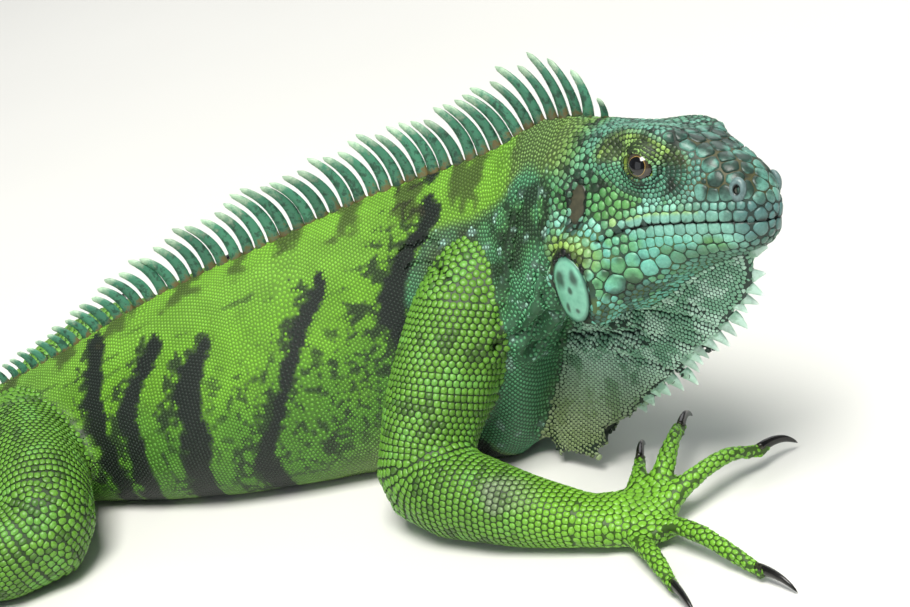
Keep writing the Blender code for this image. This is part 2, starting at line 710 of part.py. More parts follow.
def crest_strip(roots):
    """A serrated ridge as one closed body: a pointed spine on each root, with low valleys between."""
    tips, lefts, rights, middles = [], [], [], []
    for point, forward, outward, height, extra_lean in roots:
        side = np.cross(forward, outward) * CREST_HALF_THICK * (0.5 + 0.5 * min(height / 15.0, 1.0))
        foot = point - outward * CREST_ROOTED
        lean = math.radians(CREST_LEAN + extra_lean)
        tips.append(point + (outward * math.cos(lean) - forward * math.sin(lean)) * height)
        lefts.append(foot + side)
        rights.append(foot - side)
        middles.append(point + outward * CREST_FOLD)
    half = (middles[1] - middles[0]) * CREST_END_REACH
    valleys = [middles[0] - half]
    valleys += [(here + there) / 2 for here, there in zip(middles, middles[1:])]
    valleys.append(middles[-1] + half)
    shape = bmesh.new()
    tips, lefts, rights, valleys = ([shape.verts.new(Vector(point) * MM) for point in points]
                                    for points in (tips, lefts, rights, valleys))
    for i, tip in enumerate(tips):
        for near in (lefts[i], rights[i]):
            shape.faces.new((valleys[i], near, tip))
            shape.faces.new((near, valleys[i + 1], tip))
    for i in range(len(tips) - 1):
        shape.faces.new((lefts[i], lefts[i + 1], valleys[i + 1]))
        shape.faces.new((rights[i], rights[i + 1], valleys[i + 1]))
        shape.faces.new((lefts[i], rights[i], rights[i + 1], lefts[i + 1]))
    shape.faces.new((valleys[0], lefts[0], rights[0]))
    shape.faces.new((valleys[-1], lefts[-1], rights[-1]))
    bmesh.ops.recalc_face_normals(shape, faces=shape.faces)
    return object_from(shape, "crest")


def between_spines(roots, place, normal):
    """The point midway between the two spines that a cut through place falls between."""
    offsets = [np.dot(root[0] - place, normal) for root in roots]
    for here, there, first, second in zip(offsets, offsets[1:], roots, roots[1:]):
        if here * there <= 0:
            return (first[0] + second[0]) / 2
    return place


def trunk_cuts(roots):
    """Cutters that part the trunk and the tail, each one falling between two spines."""
    path, along = trunk_path()
    lengths = distances_along(path[:, :2])
    root = lengths[STEPS * (len(TRUNK) - 1)]
    places = [int(np.argmin(abs(path[:, 0] - x))) for x in TRUNK_CUTS]
    places += [int(np.argmin(abs(lengths - root - share * TAIL_LENGTH))) for share in TAIL_CUTS]
    cutters = []
    for index in places:
        x, y, top, bottom, width = path[index, :5]
        normal = np.array([*along[index], 0.0])
        ridge = between_spines(roots, np.array([x, y, top]), normal)
        centre = np.array([x, y, (top + bottom) / 2])
        centre += normal * np.dot(ridge - centre, normal)
        cutters.append(slab(centre, normal, width * 1.3 + 6.0, (top - bottom) / 2 + 8.0))
    return cutters


def head_cut(roots):
    """The cutter behind the jowls."""
    normal = np.array(HEAD_TURN @ Vector((1.0, 0.0, 0.0)))
    centre = np.array(on_head((HEAD_REAR, 0.0, -9.0)))
    ridge = between_spines(roots, centre, normal)
    centre += normal * np.dot(ridge - centre, normal)
    return slab(centre, normal, 44.0, 44.0)


def add_crest(nodes, roots):
    """Joins each stretch of the crest to the piece of body that it grows from."""
    rooted = {}
    for root in roots:
        point = Vector(root[0]) * MM
        name = min(nodes, key=lambda key: (nodes[key].closest_point_on_mesh(point)[1] - point).length)
        rooted.setdefault(name, []).append(root)
    for name, stretch in rooted.items():
        combine(nodes[name], crest_strip(stretch), "UNION")


# ---------------------------------------------------------------- the whole animal

def main():
    clear_scene()
    core = fuse(head_forms() + [trunk_form()], "core", TRIANGLES["core"])
    arms(core)
    legs(core)
    dewlap = fuse([dewlap_form()], "dewlap", TRIANGLES["dewlap"])
    combine(dewlap, grown(core, GAP), "DIFFERENCE")
    weld(dewlap)
    for spike in beard_spikes():
        combine(dewlap, spike, "UNION")
    for piece in part(dewlap, {"dewlap": mean_point(DEWLAP)}).values():
        finish_node(piece)
    set_into_head(core, "eye", EYE_AT, (EYE_RADIUS,) * 3, 12, 6)
    set_into_head(core, "tympanum", TYMPANUM_AT, TYMPANUM_SIZE, 8, 4)
    set_into_head(core, "jowl_plate", JOWL_PLATE_AT, JOWL_PLATE_SIZE, 10, 5)
    roots = crest_roots()
    cutters = [ribbon(MOUTH_LINE + JAW_REAR, 32.0, on_head), head_cut(roots)] + trunk_cuts(roots)
    for cutter in cutters:
        combine(core, cutter, "DIFFERENCE")
    tail = np.array(tail_stations())[:, :3]
    shares = (0.0, *TAIL_CUTS, 1.0)
    labels = {
        "head": on_head((-38.0, 0.0, 8.0)), "jaw": on_head((-26.0, 0.0, -14.0)), "neck": (46.0, -18.0, 82.0),
        "chest": (-16.0, -8.0, 48.0), "belly": (-94.0, -32.0, 40.0), "pelvis": (-168.0, -60.0, 28.0),
    }
    for k, (start, end) in enumerate(zip(shares, shares[1:])):
        point = tail[int(round((start + end) / 2 * len(tail)))]
        labels[f"tail_{k + 1}"] = (point[0], point[1], point[2] / 2)
    nodes = part(core, labels)
    add_crest(nodes, roots)
    for piece in nodes.values():
        finish_node(piece)


main()
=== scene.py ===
# %% [markdown]
# # A green iguana, life size
# A museum model of a green iguana: it lies on its belly with its head up, a crest of spines down its back and
# a loose dewlap under its chin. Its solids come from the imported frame. Here they get one skin without seams,
# scales laid over that skin one by one, eyes, claws, spines and their finishes. The solids could be shaded as
# they are, but a lizard is all scale and fold, so its surface is made as real geometry.

# %% Load the frame
import math

import bmesh
import bpy
import numpy as np
from mathutils import Matrix, Vector
from mathutils.bvhtree import BVHTree
from mathutils.kdtree import KDTree


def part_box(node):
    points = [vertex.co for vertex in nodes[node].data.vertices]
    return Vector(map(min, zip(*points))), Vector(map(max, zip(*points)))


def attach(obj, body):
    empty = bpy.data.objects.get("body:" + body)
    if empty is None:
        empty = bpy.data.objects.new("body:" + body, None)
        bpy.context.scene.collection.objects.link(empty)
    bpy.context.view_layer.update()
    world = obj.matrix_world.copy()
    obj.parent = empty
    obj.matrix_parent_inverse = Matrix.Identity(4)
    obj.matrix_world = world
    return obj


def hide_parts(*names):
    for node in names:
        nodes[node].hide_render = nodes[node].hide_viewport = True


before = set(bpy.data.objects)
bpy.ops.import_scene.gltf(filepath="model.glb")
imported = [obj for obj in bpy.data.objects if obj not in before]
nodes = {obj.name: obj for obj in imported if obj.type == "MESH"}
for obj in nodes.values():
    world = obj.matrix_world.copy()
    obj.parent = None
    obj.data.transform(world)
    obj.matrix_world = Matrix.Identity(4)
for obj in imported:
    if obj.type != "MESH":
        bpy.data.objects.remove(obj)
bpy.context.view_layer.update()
MM = 0.001

# %% [markdown]
# ## Camera
# The camera looks down on the animal's right side from in front, as a visitor would, and leans a little, which
# turns a body that lay on a slanting branch back onto a level floor. It could be parented to a target, but
# working its axes out from three angles keeps every number plain.

# %% Camera
CAMERA_TURN, CAMERA_RISE, CAMERA_ROLL = (math.radians(angle) for angle in (38.0, 25.0, 17.0))
CAMERA_TARGET = Vector((0.0, -30.0, 62.0)) * MM
CAMERA_DISTANCE = 650 * MM
CAMERA_LENS, CAMERA_SENSOR, CAMERA_NEAR = 77.14, 36.0, 0.01

back = Vector((math.sin(CAMERA_TURN) * math.cos(CAMERA_RISE),
               -math.cos(CAMERA_TURN) * math.cos(CAMERA_RISE), math.sin(CAMERA_RISE)))
level = Vector((math.cos(CAMERA_TURN), math.sin(CAMERA_TURN), 0.0))
upright = back.cross(level)
right = level * math.cos(CAMERA_ROLL) - upright * math.sin(CAMERA_ROLL)
up = level * math.sin(CAMERA_ROLL) + upright * math.cos(CAMERA_ROLL)
bpy.ops.object.camera_add()
camera = bpy.context.object
camera.name = "camera"
camera.data.lens = CAMERA_LENS
camera.data.sensor_width = CAMERA_SENSOR
camera.data.clip_start = CAMERA_NEAR
spot = CAMERA_TARGET + back * CAMERA_DISTANCE
camera.matrix_world = Matrix.Translation(spot) @ Matrix((right, up, back)).transposed().to_4x4()
bpy.context.scene.camera = camera
print("camera height above the floor:", round(spot.z, 3))

# %% [markdown]
# ## Small tools
# A few helpers are used all through: colours are written as sRGB hex codes and turned to linear, arrays are
# worked in millimetres, and one function turns arrays of points and faces into a mesh, because tens of
# thousands of scales are too many to add one operator at a time.

# %% Helpers for numbers and colours
rng = np.random.default_rng(7)


def linear(code):
    """An sRGB hex colour as linear red, green and blue."""
    parts = np.array([int(code[i:i + 2], 16) for i in (1, 3, 5)]) / 255
    return np.where(parts <= 0.04045, parts / 12.92, ((parts + 0.055) / 1.055) ** 2.4)


def lengths(vectors):
    return np.linalg.norm(vectors, axis=1)


def unit(vectors):
    vectors = np.asarray(vectors, dtype=float)
    return vectors / np.maximum(np.linalg.norm(vectors, axis=-1, keepdims=True), 1e-12)


def ramp(values, low, high):
    """0 below low, 1 above high, smooth between; low may be the larger one."""
    t = np.clip((values - low) / (high - low), 0.0, 1.0)
    return t * t * (3 - 2 * t)


def blend(first, second, share):
    share = np.asarray(share)[..., None]
    return first * (1 - share) + second * share


def noise(points, scale, seed=0):
    """Smooth noise from 0 to 1 with lumps about as wide as scale."""
    q = np.asarray(points) / scale + seed * 7.31
    cell = np.floor(q).astype(np.int64)
    f = q - cell
    f = f * f * (3 - 2 * f)
    total = np.zeros(len(q))
    for corner in range(8):
        step = np.array([corner >> 2 & 1, corner >> 1 & 1, corner & 1])
        key = (cell + step) * np.array([73856093, 19349663, 83492791])
        mixed = (key[:, 0] ^ key[:, 1] ^ key[:, 2] ^ (seed * 2654435761)) & 0x7FFFFFFF
        mixed = (mixed * 1103515245 + 12345) >> 8 & 0xFFFF
        weight = np.prod(np.where(step, f, 1 - f), axis=1)
        total += weight * mixed / 0xFFFF
    return total


def circle(count):
    """Equal turns round a circle, in radians."""
    return np.linspace(0, 2 * math.pi, count, endpoint=False)


def steps_along(points):
    """How far along a line each of its points stands."""
    return np.concatenate([[0], np.cumsum(lengths(np.diff(points, axis=0)))])


def part_way(places, steps, points):
    """Points of a line at given distances along it."""
    return np.stack([np.interp(places, steps, column) for column in points.T], axis=-1)


def smooth_line(points, step):
    """A Catmull-Rom curve through the points, as points at equal distances along it."""
    knots = np.array(points, dtype=float)
    knots = np.vstack([2 * knots[0] - knots[1], knots, 2 * knots[-1] - knots[-2]])
    t = np.linspace(0, 1, 24, endpoint=False)[:, None]
    rows = [0.5 * (2 * b + (c - a) * t + (2 * a - 5 * b + 4 * c - d) * t ** 2 + (3 * b - a - 3 * c + d) * t ** 3)
            for a, b, c, d in zip(knots, knots[1:], knots[2:], knots[3:])]
    curve = np.vstack(rows + [knots[-2][None]])
    along = steps_along(curve)
    count = max(2, int(round(along[-1] / step)) + 1)
    return part_way(np.linspace(0, along[-1], count), along, curve)


# %% [markdown]
# ## Tools for meshes
# Points go in and out of meshes as whole arrays, which is far quicker than one at a time. Values kept on the
# points carry colours and places to the finishes.

# %% Helpers for meshes
def select_only(*items):
    bpy.ops.object.select_all(action="DESELECT")
    for item in items:
        item.select_set(True)
    bpy.context.view_layer.objects.active = items[0]


def apply_modifier(item, kind, **settings):
    modifier = item.modifiers.new(kind.title(), kind)
    for key, value in settings.items():
        setattr(modifier, key, value)
    select_only(item)
    bpy.ops.object.modifier_apply(modifier=modifier.name)


def mesh_object(name, points, corners, sides):
    """An object from points in millimetres, a flat list of corners and the number of corners per face."""
    mesh = bpy.data.meshes.new(name)
    mesh.vertices.add(len(points))
    mesh.vertices.foreach_set("co", (np.asarray(points) * MM).astype(np.float32).ravel())
    mesh.loops.add(len(corners))
    mesh.loops.foreach_set("vertex_index", np.asarray(corners, dtype=np.int32))
    mesh.polygons.add(len(sides))
    starts = np.concatenate([[0], np.cumsum(sides)[:-1]])
    mesh.polygons.foreach_set("loop_start", starts.astype(np.int32))
    mesh.update(calc_edges=True)
    mesh.shade_smooth()
    item = bpy.data.objects.new(name, mesh)
    bpy.context.scene.collection.objects.link(item)
    return item


def read_rows(items, key, count=3, kind=np.float32):
    """One value of all of a mesh's points, corners, edges or faces, as the rows of an array."""
    values = np.empty(count * len(items), dtype=kind)
    items.foreach_get(key, values)
    return values.reshape(-1, count)


def read_points(mesh):
    return read_rows(mesh.vertices, "co").astype(float) / MM


def read_corners(mesh):
    return read_rows(mesh.loops, "vertex_index", 1, np.int32).ravel()


def write_points(mesh, points):
    mesh.vertices.foreach_set("co", (points * MM).astype(np.float32).ravel())
    mesh.update()


def set_attribute(mesh, name, kind, values):
    attribute = mesh.attributes.new(name, kind, "POINT")
    attribute.data.foreach_set("color" if kind == "FLOAT_COLOR" else "value",
                               np.asarray(values, dtype=np.float32).ravel())


def kd_tree(points):
    tree = KDTree(len(points))
    for index, point in enumerate(points):
        tree.insert(point, index)
    tree.balance()
    return tree


WELD = 0.002


def read_node(name):
    """A solid's points in millimetres and its triangles, with points closer than a weld made one."""
    mesh = nodes[name].data
    points = read_points(mesh)
    corners = read_corners(mesh)
    key = np.round(points / WELD).astype(np.int64)
    _, index, inverse = np.unique(key, axis=0, return_index=True, return_inverse=True)
    return points[index], inverse.ravel()[corners].reshape(-1, 3)


def strewn_over(triangles, areas, count):
    """Random points on triangles, as many on each as its area asks."""
    chosen = triangles[rng.choice(len(triangles), count, p=areas / areas.sum())]
    u, v = rng.random((2, count, 1))
    flip = u + v > 1
    u, v = np.where(flip, 1 - u, u), np.where(flip, 1 - v, v)
    return chosen[:, 0] + (chosen[:, 1] - chosen[:, 0]) * u + (chosen[:, 2] - chosen[:, 0]) * v


def areas_of(triangles):
    return lengths(np.cross(triangles[:, 1] - triangles[:, 0], triangles[:, 2] - triangles[:, 0])) / 2


def frame_along(line):
    """Unit vectors along a line, to its right and upwards, at each of its points."""
    ahead = unit(np.gradient(line, axis=0))
    side = unit(np.cross(ahead, (0.0, 0.0, 1.0)))
    return ahead, side, np.cross(side, ahead)


def node_centre(name):
    low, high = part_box(name)
    return np.array((low + high) / 2) / MM


# %% [markdown]
# ## The head's own axes
# Everything on the head is easiest to place in axes that belong to it: x forward from the snout's tip, y to its
# left, z up. The solids of the eyes, eardrums and jowl plates come in pairs, and their midpoints fix those axes.

# %% Head axes
EYE_BACK, EYE_UP = 36.0, 11.3
DRUM_OVER_PLATE = (0.4, 25.5)

pairs = {key: (node_centre(f"{key}_right"), node_centre(f"{key}_left"))
         for key in ("eye", "tympanum", "jowl_plate")}
middles = {key: (a + b) / 2 for key, (a, b) in pairs.items()}
head_y = unit(pairs["eye"][1] - pairs["eye"][0])
steep = unit(middles["tympanum"] - middles["jowl_plate"])
flat = unit(np.cross(head_y, steep))
tilt = math.atan2(*DRUM_OVER_PLATE)
head_x = flat * math.cos(tilt) + steep * math.sin(tilt)
head_z = np.cross(head_x, head_y)
head_at = middles["eye"] + head_x * EYE_BACK - head_z * EYE_UP
HEAD_AXES = np.array([head_x, head_y, head_z])


def to_head(points):
    return (np.asarray(points) - head_at) @ HEAD_AXES.T


def from_head(points):
    return np.asarray(points) @ HEAD_AXES + head_at


print("eyes in the head's axes:", to_head(pairs["eye"][0]).round(1), to_head(pairs["eye"][1]).round(1))

# %% [markdown]
# ## Flesh
# The solids of the flesh are copied, their crest spines pressed flat, and grown by half a millimetre so that the
# cuts between them close. One voxel remesh then makes a single skin of them all. A spine's tip is found by its
# sharpness: the angles of the faces round it add up to far less than a full turn. Where the tips were is kept,
# because the crest is built again on them later.

# %% Copies of the flesh
GROW = 0.5
TIP_ANGLE = math.radians(115)
FLESH = [name for name in nodes if not name.startswith("claw")]
CLAWS = [name for name in nodes if name.startswith("claw")]
HEAD_WORDS = ("head", "jaw", "eye", "tympanum", "jowl")
LIMB_WORDS, HAND_WORDS = ("upper", "forearm", "thigh", "shin"), ("hand", "foot")
LIMBS = {f"{kind}_{side}": [f"{part}_{side}" for part in parts] for side in ("right", "left") for kind, parts in (
    ("arm", ("upper_arm", "forearm", "hand")), ("leg", ("thigh", "shin", "foot")))}
TRUNK = ["neck", "chest", "belly", "pelvis"]
TAIL = [name for name in nodes if name.startswith("tail")]
COMB_REACH, COMB_DEEP, COMB_SHARE = 7, 4.5, 25
flesh, crest_tips = {}, []


def combed_back(points):
    """The dewlap without its spikes, which stand out past the hollows of its front edge, and that edge's line."""
    levels = np.arange(points[:, 2].min(), points[:, 2].max() + 1.0, 1.0)
    far = np.array([points[abs(points[:, 2] - level) < 1.6, 0].max(initial=-1e3) for level in levels])
    known = far > -999
    far = np.interp(levels, levels[known], far[known])
    window = 2 * COMB_REACH + 1
    padded = np.pad(far, COMB_REACH, mode="reflect", reflect_type="odd")
    trend = np.convolve(padded, np.ones(window) / window, "valid")
    loss = far - trend
    hollow = trend + np.array([np.percentile(loss[max(i - 4, 0):i + 5], COMB_SHARE) for i in range(len(far))])
    ends = np.maximum(ramp(levels, levels[-1] - 18, levels[-1] - 9), ramp(levels, levels[0] + 12, levels[0] + 6))
    hollow = np.maximum(hollow, far - COMB_DEEP) * (1 - ends) + far * ends
    points[:, 0] = np.minimum(points[:, 0], np.interp(points[:, 2], levels, hollow))
    return points, np.column_stack([hollow, levels])


def flesh_copy(name):
    points, triangles = read_node(name)
    if name == "dewlap":
        points = combed_dewlap
    shape = bmesh.new()
    verts = [shape.verts.new(point) for point in points]
    for triangle in triangles:
        if len(set(triangle)) == 3:
            shape.faces.new([verts[i] for i in triangle])
    if name in TRUNK + TAIL[:-1] + ["head"]:
        for vert in shape.verts:
            if sum(loop.calc_angle() for loop in vert.link_loops) < TIP_ANGLE:
                foot = sum((edge.other_vert(vert).co for edge in vert.link_edges), Vector()) / len(vert.link_edges)
                crest_tips.append((np.array(foot), np.array(vert.co)))
                vert.co = foot
    shape.normal_update()
    shape.verts.index_update()
    points = np.array([vert.co for vert in shape.verts])
    normals = np.array([vert.normal for vert in shape.verts])
    triangles = np.array([[vert.index for vert in face.verts] for face in shape.faces])
    shape.free()
    flesh[name] = (points, triangles)
    return mesh_object(f"flesh_{name}", points + normals * GROW, triangles.ravel(), [3] * len(triangles))


def claw_ends(name):
    """The middles of a claw's tip ring, middle ring and root ring; the root is the end nearest its hand or foot."""
    points = read_node(name)[0]
    _, kind, side, _ = name.split("_")
    order = np.argsort(-lengths(points - read_node(f"{kind}_{side}")[0].mean(axis=0)))
    rings = order[:4], order[4:-4], order[-4:]
    return [points[ring].mean(axis=0) for ring in rings]


TOE_END = 3.1
combed_dewlap, beard_line = combed_back(read_node("dewlap")[0])
copies = [flesh_copy(name) for name in FLESH]
for name in CLAWS:
    root = claw_ends(name)[2]
    root[2] = max(root[2], TOE_END - 0.4)
    bpy.ops.mesh.primitive_ico_sphere_add(subdivisions=3, radius=TOE_END * MM, location=root * MM)
    bpy.context.object.name = f"toe_end_{name}"
    copies.append(bpy.context.object)
print("crest spines found:", len(crest_tips))

# %% [markdown]
# ## One skin
# A living body has no seams, so the copies are joined and remeshed as one, smoothed, and drawn in by the depth of
# the scales that will lie on it. A boolean union would keep the corners where the solids meet. Where spikes stood
# on the dewlap's edge the remesh leaves lumps, which are pressed back and evened out.

# %% One skin
SKIN_VOXEL = 1.9
COAT, COAT_ON_EDGE = 0.35, -0.2
DEWLAP_NEAR = 4.0

select_only(*copies)
bpy.ops.object.transform_apply(location=True, rotation=True, scale=True)
bpy.ops.object.join()
skin = bpy.context.object
skin.name = "skin"
apply_modifier(skin, "REMESH", mode="VOXEL", voxel_size=SKIN_VOXEL * MM)
apply_modifier(skin, "SMOOTH", factor=0.5, iterations=5)


def vertex_normals(mesh):
    return read_rows(mesh.vertex_normals, "vector").astype(float)


def keep_largest(item):
    """Drop every part of a mesh that isn't joined to its largest part."""
    shape = bmesh.new()
    shape.from_mesh(item.data)
    groups, seen = [], set()
    for start in shape.verts:
        if start in seen:
            continue
        group, front = {start}, [start]
        while front:
            front = list({edge.other_vert(vert) for vert in front for edge in vert.link_edges} - group)
            group.update(front)
        seen |= group
        groups.append(group)
    largest = max(groups, key=len)
    bmesh.ops.delete(shape, geom=[vert for vert in shape.verts if vert not in largest], context="VERTS")
    shape.to_mesh(item.data)
    shape.free()


def smooth_edge(item, times):
    """Even out the dewlap's edge, where the solid's spikes left lumps, and say which points lie there."""
    points = read_points(item.data)
    ends = read_rows(item.data.edges, "vertices", 2, np.int32)
    front = np.interp(points[:, 2], beard_line[:, 1], beard_line[:, 0], left=1e3, right=1e3)
    chosen = (points[:, 0] > front - 6.0) & (points[:, 2] < beard_line[:, 1].max() - 14)
    chosen |= points[:, 2] < beard_line[:, 1].min() + 14
    tree = kd_tree(flesh["dewlap"][0])
    for index in np.flatnonzero(chosen):
        chosen[index] = tree.find(points[index])[2] < DEWLAP_NEAR
    points[chosen, 0] = np.minimum(points[chosen, 0], front[chosen] + 0.3)
    degree = np.bincount(ends.ravel(), minlength=len(points))[:, None]
    for _ in range(times):
        total = np.zeros_like(points)
        np.add.at(total, ends[:, 0], points[ends[:, 1]])
        np.add.at(total, ends[:, 1], points[ends[:, 0]])
        points[chosen] += 0.5 * (total / degree - points)[chosen]
    write_points(item.data, points)
    return chosen


keep_largest(skin)
on_edge = smooth_edge(skin, 9)
inward = GROW + np.where(on_edge, COAT_ON_EDGE, COAT)[:, None]
write_points(skin.data, read_points(skin.data) - vertex_normals(skin.data) * inward)
print("skin:", len(skin.data.polygons), "faces")

# %% [markdown]
# ## Finer skin on the face
# Lids, lips and nostrils need points closer together than the rest of the body, so the faces near them are
# divided, twice round the eyes. Dividing the whole skin would pass the limit on triangles.

# %% Divide the face
MOUTH = np.array([(1.5, -3.5), (-8.0, -3.6), (-20.0, -4.2), (-32.0, -5.4), (-42.0, -8.0), (-49.0, -11.5)])
EYE = np.array([-EYE_BACK, to_head(pairs["eye"][1])[1], EYE_UP])
DRUM = to_head(pairs["tympanum"][1])
PLATE = to_head(pairs["jowl_plate"][1])
NOSTRIL = np.array([-6.4, 7.2, 5.1])


def line_distance(points, line):
    """Distance from each point to an open line, and where on the line it is nearest, from 0 to 1."""
    best = np.full(len(points), 1e9)
    place = np.zeros(len(points))
    for i, (a, b) in enumerate(zip(line, line[1:])):
        t = np.clip(((points - a) @ (b - a)) / max((b - a) @ (b - a), 1e-9), 0, 1)
        d = lengths(points - a - t[:, None] * (b - a))
        place = np.where(d < best, (i + t) / (len(line) - 1), place)
        best = np.minimum(best, d)
    return best, place


def folded(points):
    """Points in the head's axes with the right side laid over the left."""
    local = to_head(points)
    local[:, 1] = abs(local[:, 1])
    return local


def mouth_distance(local):
    away = line_distance(local[:, [0, 2]], MOUTH)[0]
    return np.where(local[:, 0] > -55, away, 99.0)


def divide(item, chosen):
    shape = bmesh.new()
    shape.from_mesh(item.data)
    shape.faces.ensure_lookup_table()
    faces = [shape.faces[i] for i in np.flatnonzero(chosen)]
    edges = list({edge for face in faces for edge in face.edges})
    bmesh.ops.subdivide_edges(shape, edges=edges, cuts=1, use_grid_fill=True, smooth=0.0)
    bmesh.ops.triangulate(shape, faces=[face for face in shape.faces if len(face.verts) > 4])
    shape.to_mesh(item.data)
    shape.free()
    item.data.shade_smooth()


for eye_reach, mouth_reach, nostril_reach in ((13.0, 2.6, 4.0), (10.0, 0.9, 0.0)):
    local = folded(read_rows(skin.data.polygons, "center").astype(float) / MM)
    near = lengths(local - EYE) < eye_reach
    near |= (mouth_distance(local) < mouth_reach) & (local[:, 0] > -52)
    near |= lengths(local - NOSTRIL) < nostril_reach
    divide(skin, near)
print("skin:", len(skin.data.polygons), "faces")

# %% [markdown]
# ## Lids, lips and folds
# The relief is written as one function of place: how far each point of the skin moves in or out. The same could
# be sculpted by hand, but a formula stays sharp when the skin changes. Round the eye the skin is set at exact
# distances from the eyeball's centre: behind the ball inside the opening, a lid's thickness in front of it at the
# rim, and then in rings of wrinkles that die out towards the brow and the cheek.

# %% Relief of the skin
BALL = (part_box("eye_left")[1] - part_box("eye_left")[0]).x / MM / 2
LID_HALF = (5.3, 3.4)
LID_TURN = math.radians(-14)
LID_THICK = 0.55
RING_STEP, RING_DEEP = 0.30, 0.36
DRUM_HALF, PLATE_HALF = (3.5, 6.6), (7.6, 10.6)
DRUM_RIM, DRUM_FOLD, PLATE_FOLD = (3.6, 6.8), (4.4, 7.6), (8.2, 11.2)
SEAT_DEEP = 1.3
FACING = 0.5  # how much of the jaw's slope from front to rear a jowl plate keeps
NECK_FOLDS = [
    ([(61, -45, 108), (60, -52, 95), (45, -43, 71), (28, -35, 48)], 1.9, 1.6),
    ([(52, -40, 107), (49, -46, 92), (40, -42, 74), (30, -37, 60)], 1.1, 1.2),
    ([(36, -28, 99), (31, -36, 82), (23, -40, 62)], 1.4, 1.4),
    ([(32, -23, 45), (51, -28, 50), (71, -35, 57)], 2.6, 1.7),
    ([(-18, -28, 81), (-5, -26, 84), (3, -37, 78)], 0.9, 1.0),
    ([(-14, -31, 77), (-2, -32, 79), (8, -40, 74)], 0.8, 1.0),
    ([(100, -42, 64), (88, -38, 66), (72, -34, 64), (58, -32, 58)], 1.3, 1.5),
    ([(97, -42, 50), (82, -38, 56), (66, -34, 54)], 1.0, 1.3),
    ([(85, -38, 36), (72, -36, 44), (58, -33, 45)], 0.9, 1.3),
]


def eye_place(local):
    """How far out from the middle of the lids' opening each point is: 1 on the rim."""
    ahead, high = local[:, 0] - EYE[0], local[:, 2] - EYE[2]
    u = ahead * math.cos(LID_TURN) + high * math.sin(LID_TURN)
    v = high * math.cos(LID_TURN) - ahead * math.sin(LID_TURN)
    u, v = u / LID_HALF[0], v / LID_HALF[1]
    return np.sqrt(abs(u) ** 1.7 + abs(v) ** 2.0), np.arctan2(v, u)


def lid_wave(q):
    """1 on the crests of the lids' rings of wrinkles, -1 in their grooves."""
    return np.cos(2 * math.pi * (q - 1.12) / RING_STEP)


def oval_place(local, centre, half, near=8.0):
    """How far out from an oval's middle each point is, 1 on its rim, and whether it is on the oval's side."""
    q = np.hypot((local[:, 0] - centre[0]) / half[0], (local[:, 2] - centre[2]) / half[1])
    return q, abs(local[:, 1] - centre[1]) < near


def shape_face(points, normals):
    """Lips, the folds round drum and jowl plate, the nostril's pit, the brow and the lids."""
    local = folded(points)
    move = np.zeros(len(points))
    lip = mouth_distance(local)
    on_face = local[:, 0] > -50
    move -= np.where(on_face, 0.9 * np.exp(-(lip / 0.45) ** 2), 0)
    above = local[:, 2] - np.interp(local[:, 0], MOUTH[::-1, 0], MOUTH[::-1, 1])
    move += np.where(on_face & (lip < 4), 0.35 * np.exp(-((above - 1.7) / 1.4) ** 2), 0)
    for centre, half, depth in ((DRUM, DRUM_FOLD, 1.0), (PLATE, PLATE_FOLD, 0.9)):
        q, close = oval_place(local, centre, half)
        move -= np.where(close, depth * np.exp(-((q - 1.0) / 0.13) ** 2), 0)
        move += np.where(close, 0.6 * depth * np.exp(-((q - 1.32) / 0.16) ** 2), 0)
    hole = lengths(local - NOSTRIL)
    move -= 1.6 * np.exp(-(hole / 1.3) ** 2)
    brow = lengths((local - (-37.0, 10.5, 18.5)) / (10.0, 4.0, 3.5))
    move += 1.3 * np.exp(-brow ** 2)
    points = points + normals * move[:, None]

    local = to_head(points)
    side = np.sign(local[:, 1])
    local[:, 1] = abs(local[:, 1])
    away = local - EYE
    distance = lengths(away)
    q = eye_place(local)[0]
    near = (distance < 14) & (away[:, 1] > 0)
    rings = RING_DEEP * lid_wave(q) * ramp(q, 1.0, 1.15) * ramp(q, 2.5, 1.6)
    lid = BALL + LID_THICK + 1.3 * ramp(q, 1.15, 2.0) + rings
    shaped = np.where(q < 0.94, BALL - 2.2, BALL - 2.2 + (lid - BALL + 2.2) * ramp(q, 0.94, 1.04))
    keep = ramp(q, 1.7, 2.5)
    wanted = shaped * (1 - keep) + (distance + rings) * keep
    wanted = np.where(near, wanted, distance)
    local = EYE + away * (wanted / np.maximum(distance, 1e-6))[:, None]
    local[:, 1] *= side
    return from_head(local)


def fold_neck(points, normals):
    """Grooves along lines laid on the skin, on both sides, with a swelling on each side of a groove."""
    tree = kd_tree(points)
    move = np.zeros(len(points))
    for line, deep, wide in NECK_FOLDS:
        path = smooth_line(line, 3.0)
        mirrored = from_head(to_head(path) * (1, -1, 1))
        for way in (path, mirrored):
            laid = points[[tree.find(point)[1] for point in way]]
            away = line_distance(points, laid)[0]
            move += deep * (0.45 * np.exp(-((away - 2.2 * wide) / (1.2 * wide)) ** 2)
                            - np.exp(-(away / (0.75 * wide)) ** 2))
    return points + normals * move[:, None]


def seat_plane(local, centre, half):
    """The plane y = a + b x + c z of the skin just outside an oval."""
    q, close = oval_place(local, centre, half)
    near = local[(q > 1.06) & (q < 1.26) & close]
    return np.linalg.lstsq(np.column_stack([np.ones(len(near)), near[:, 0], near[:, 2]]), near[:, 1], rcond=None)[0]


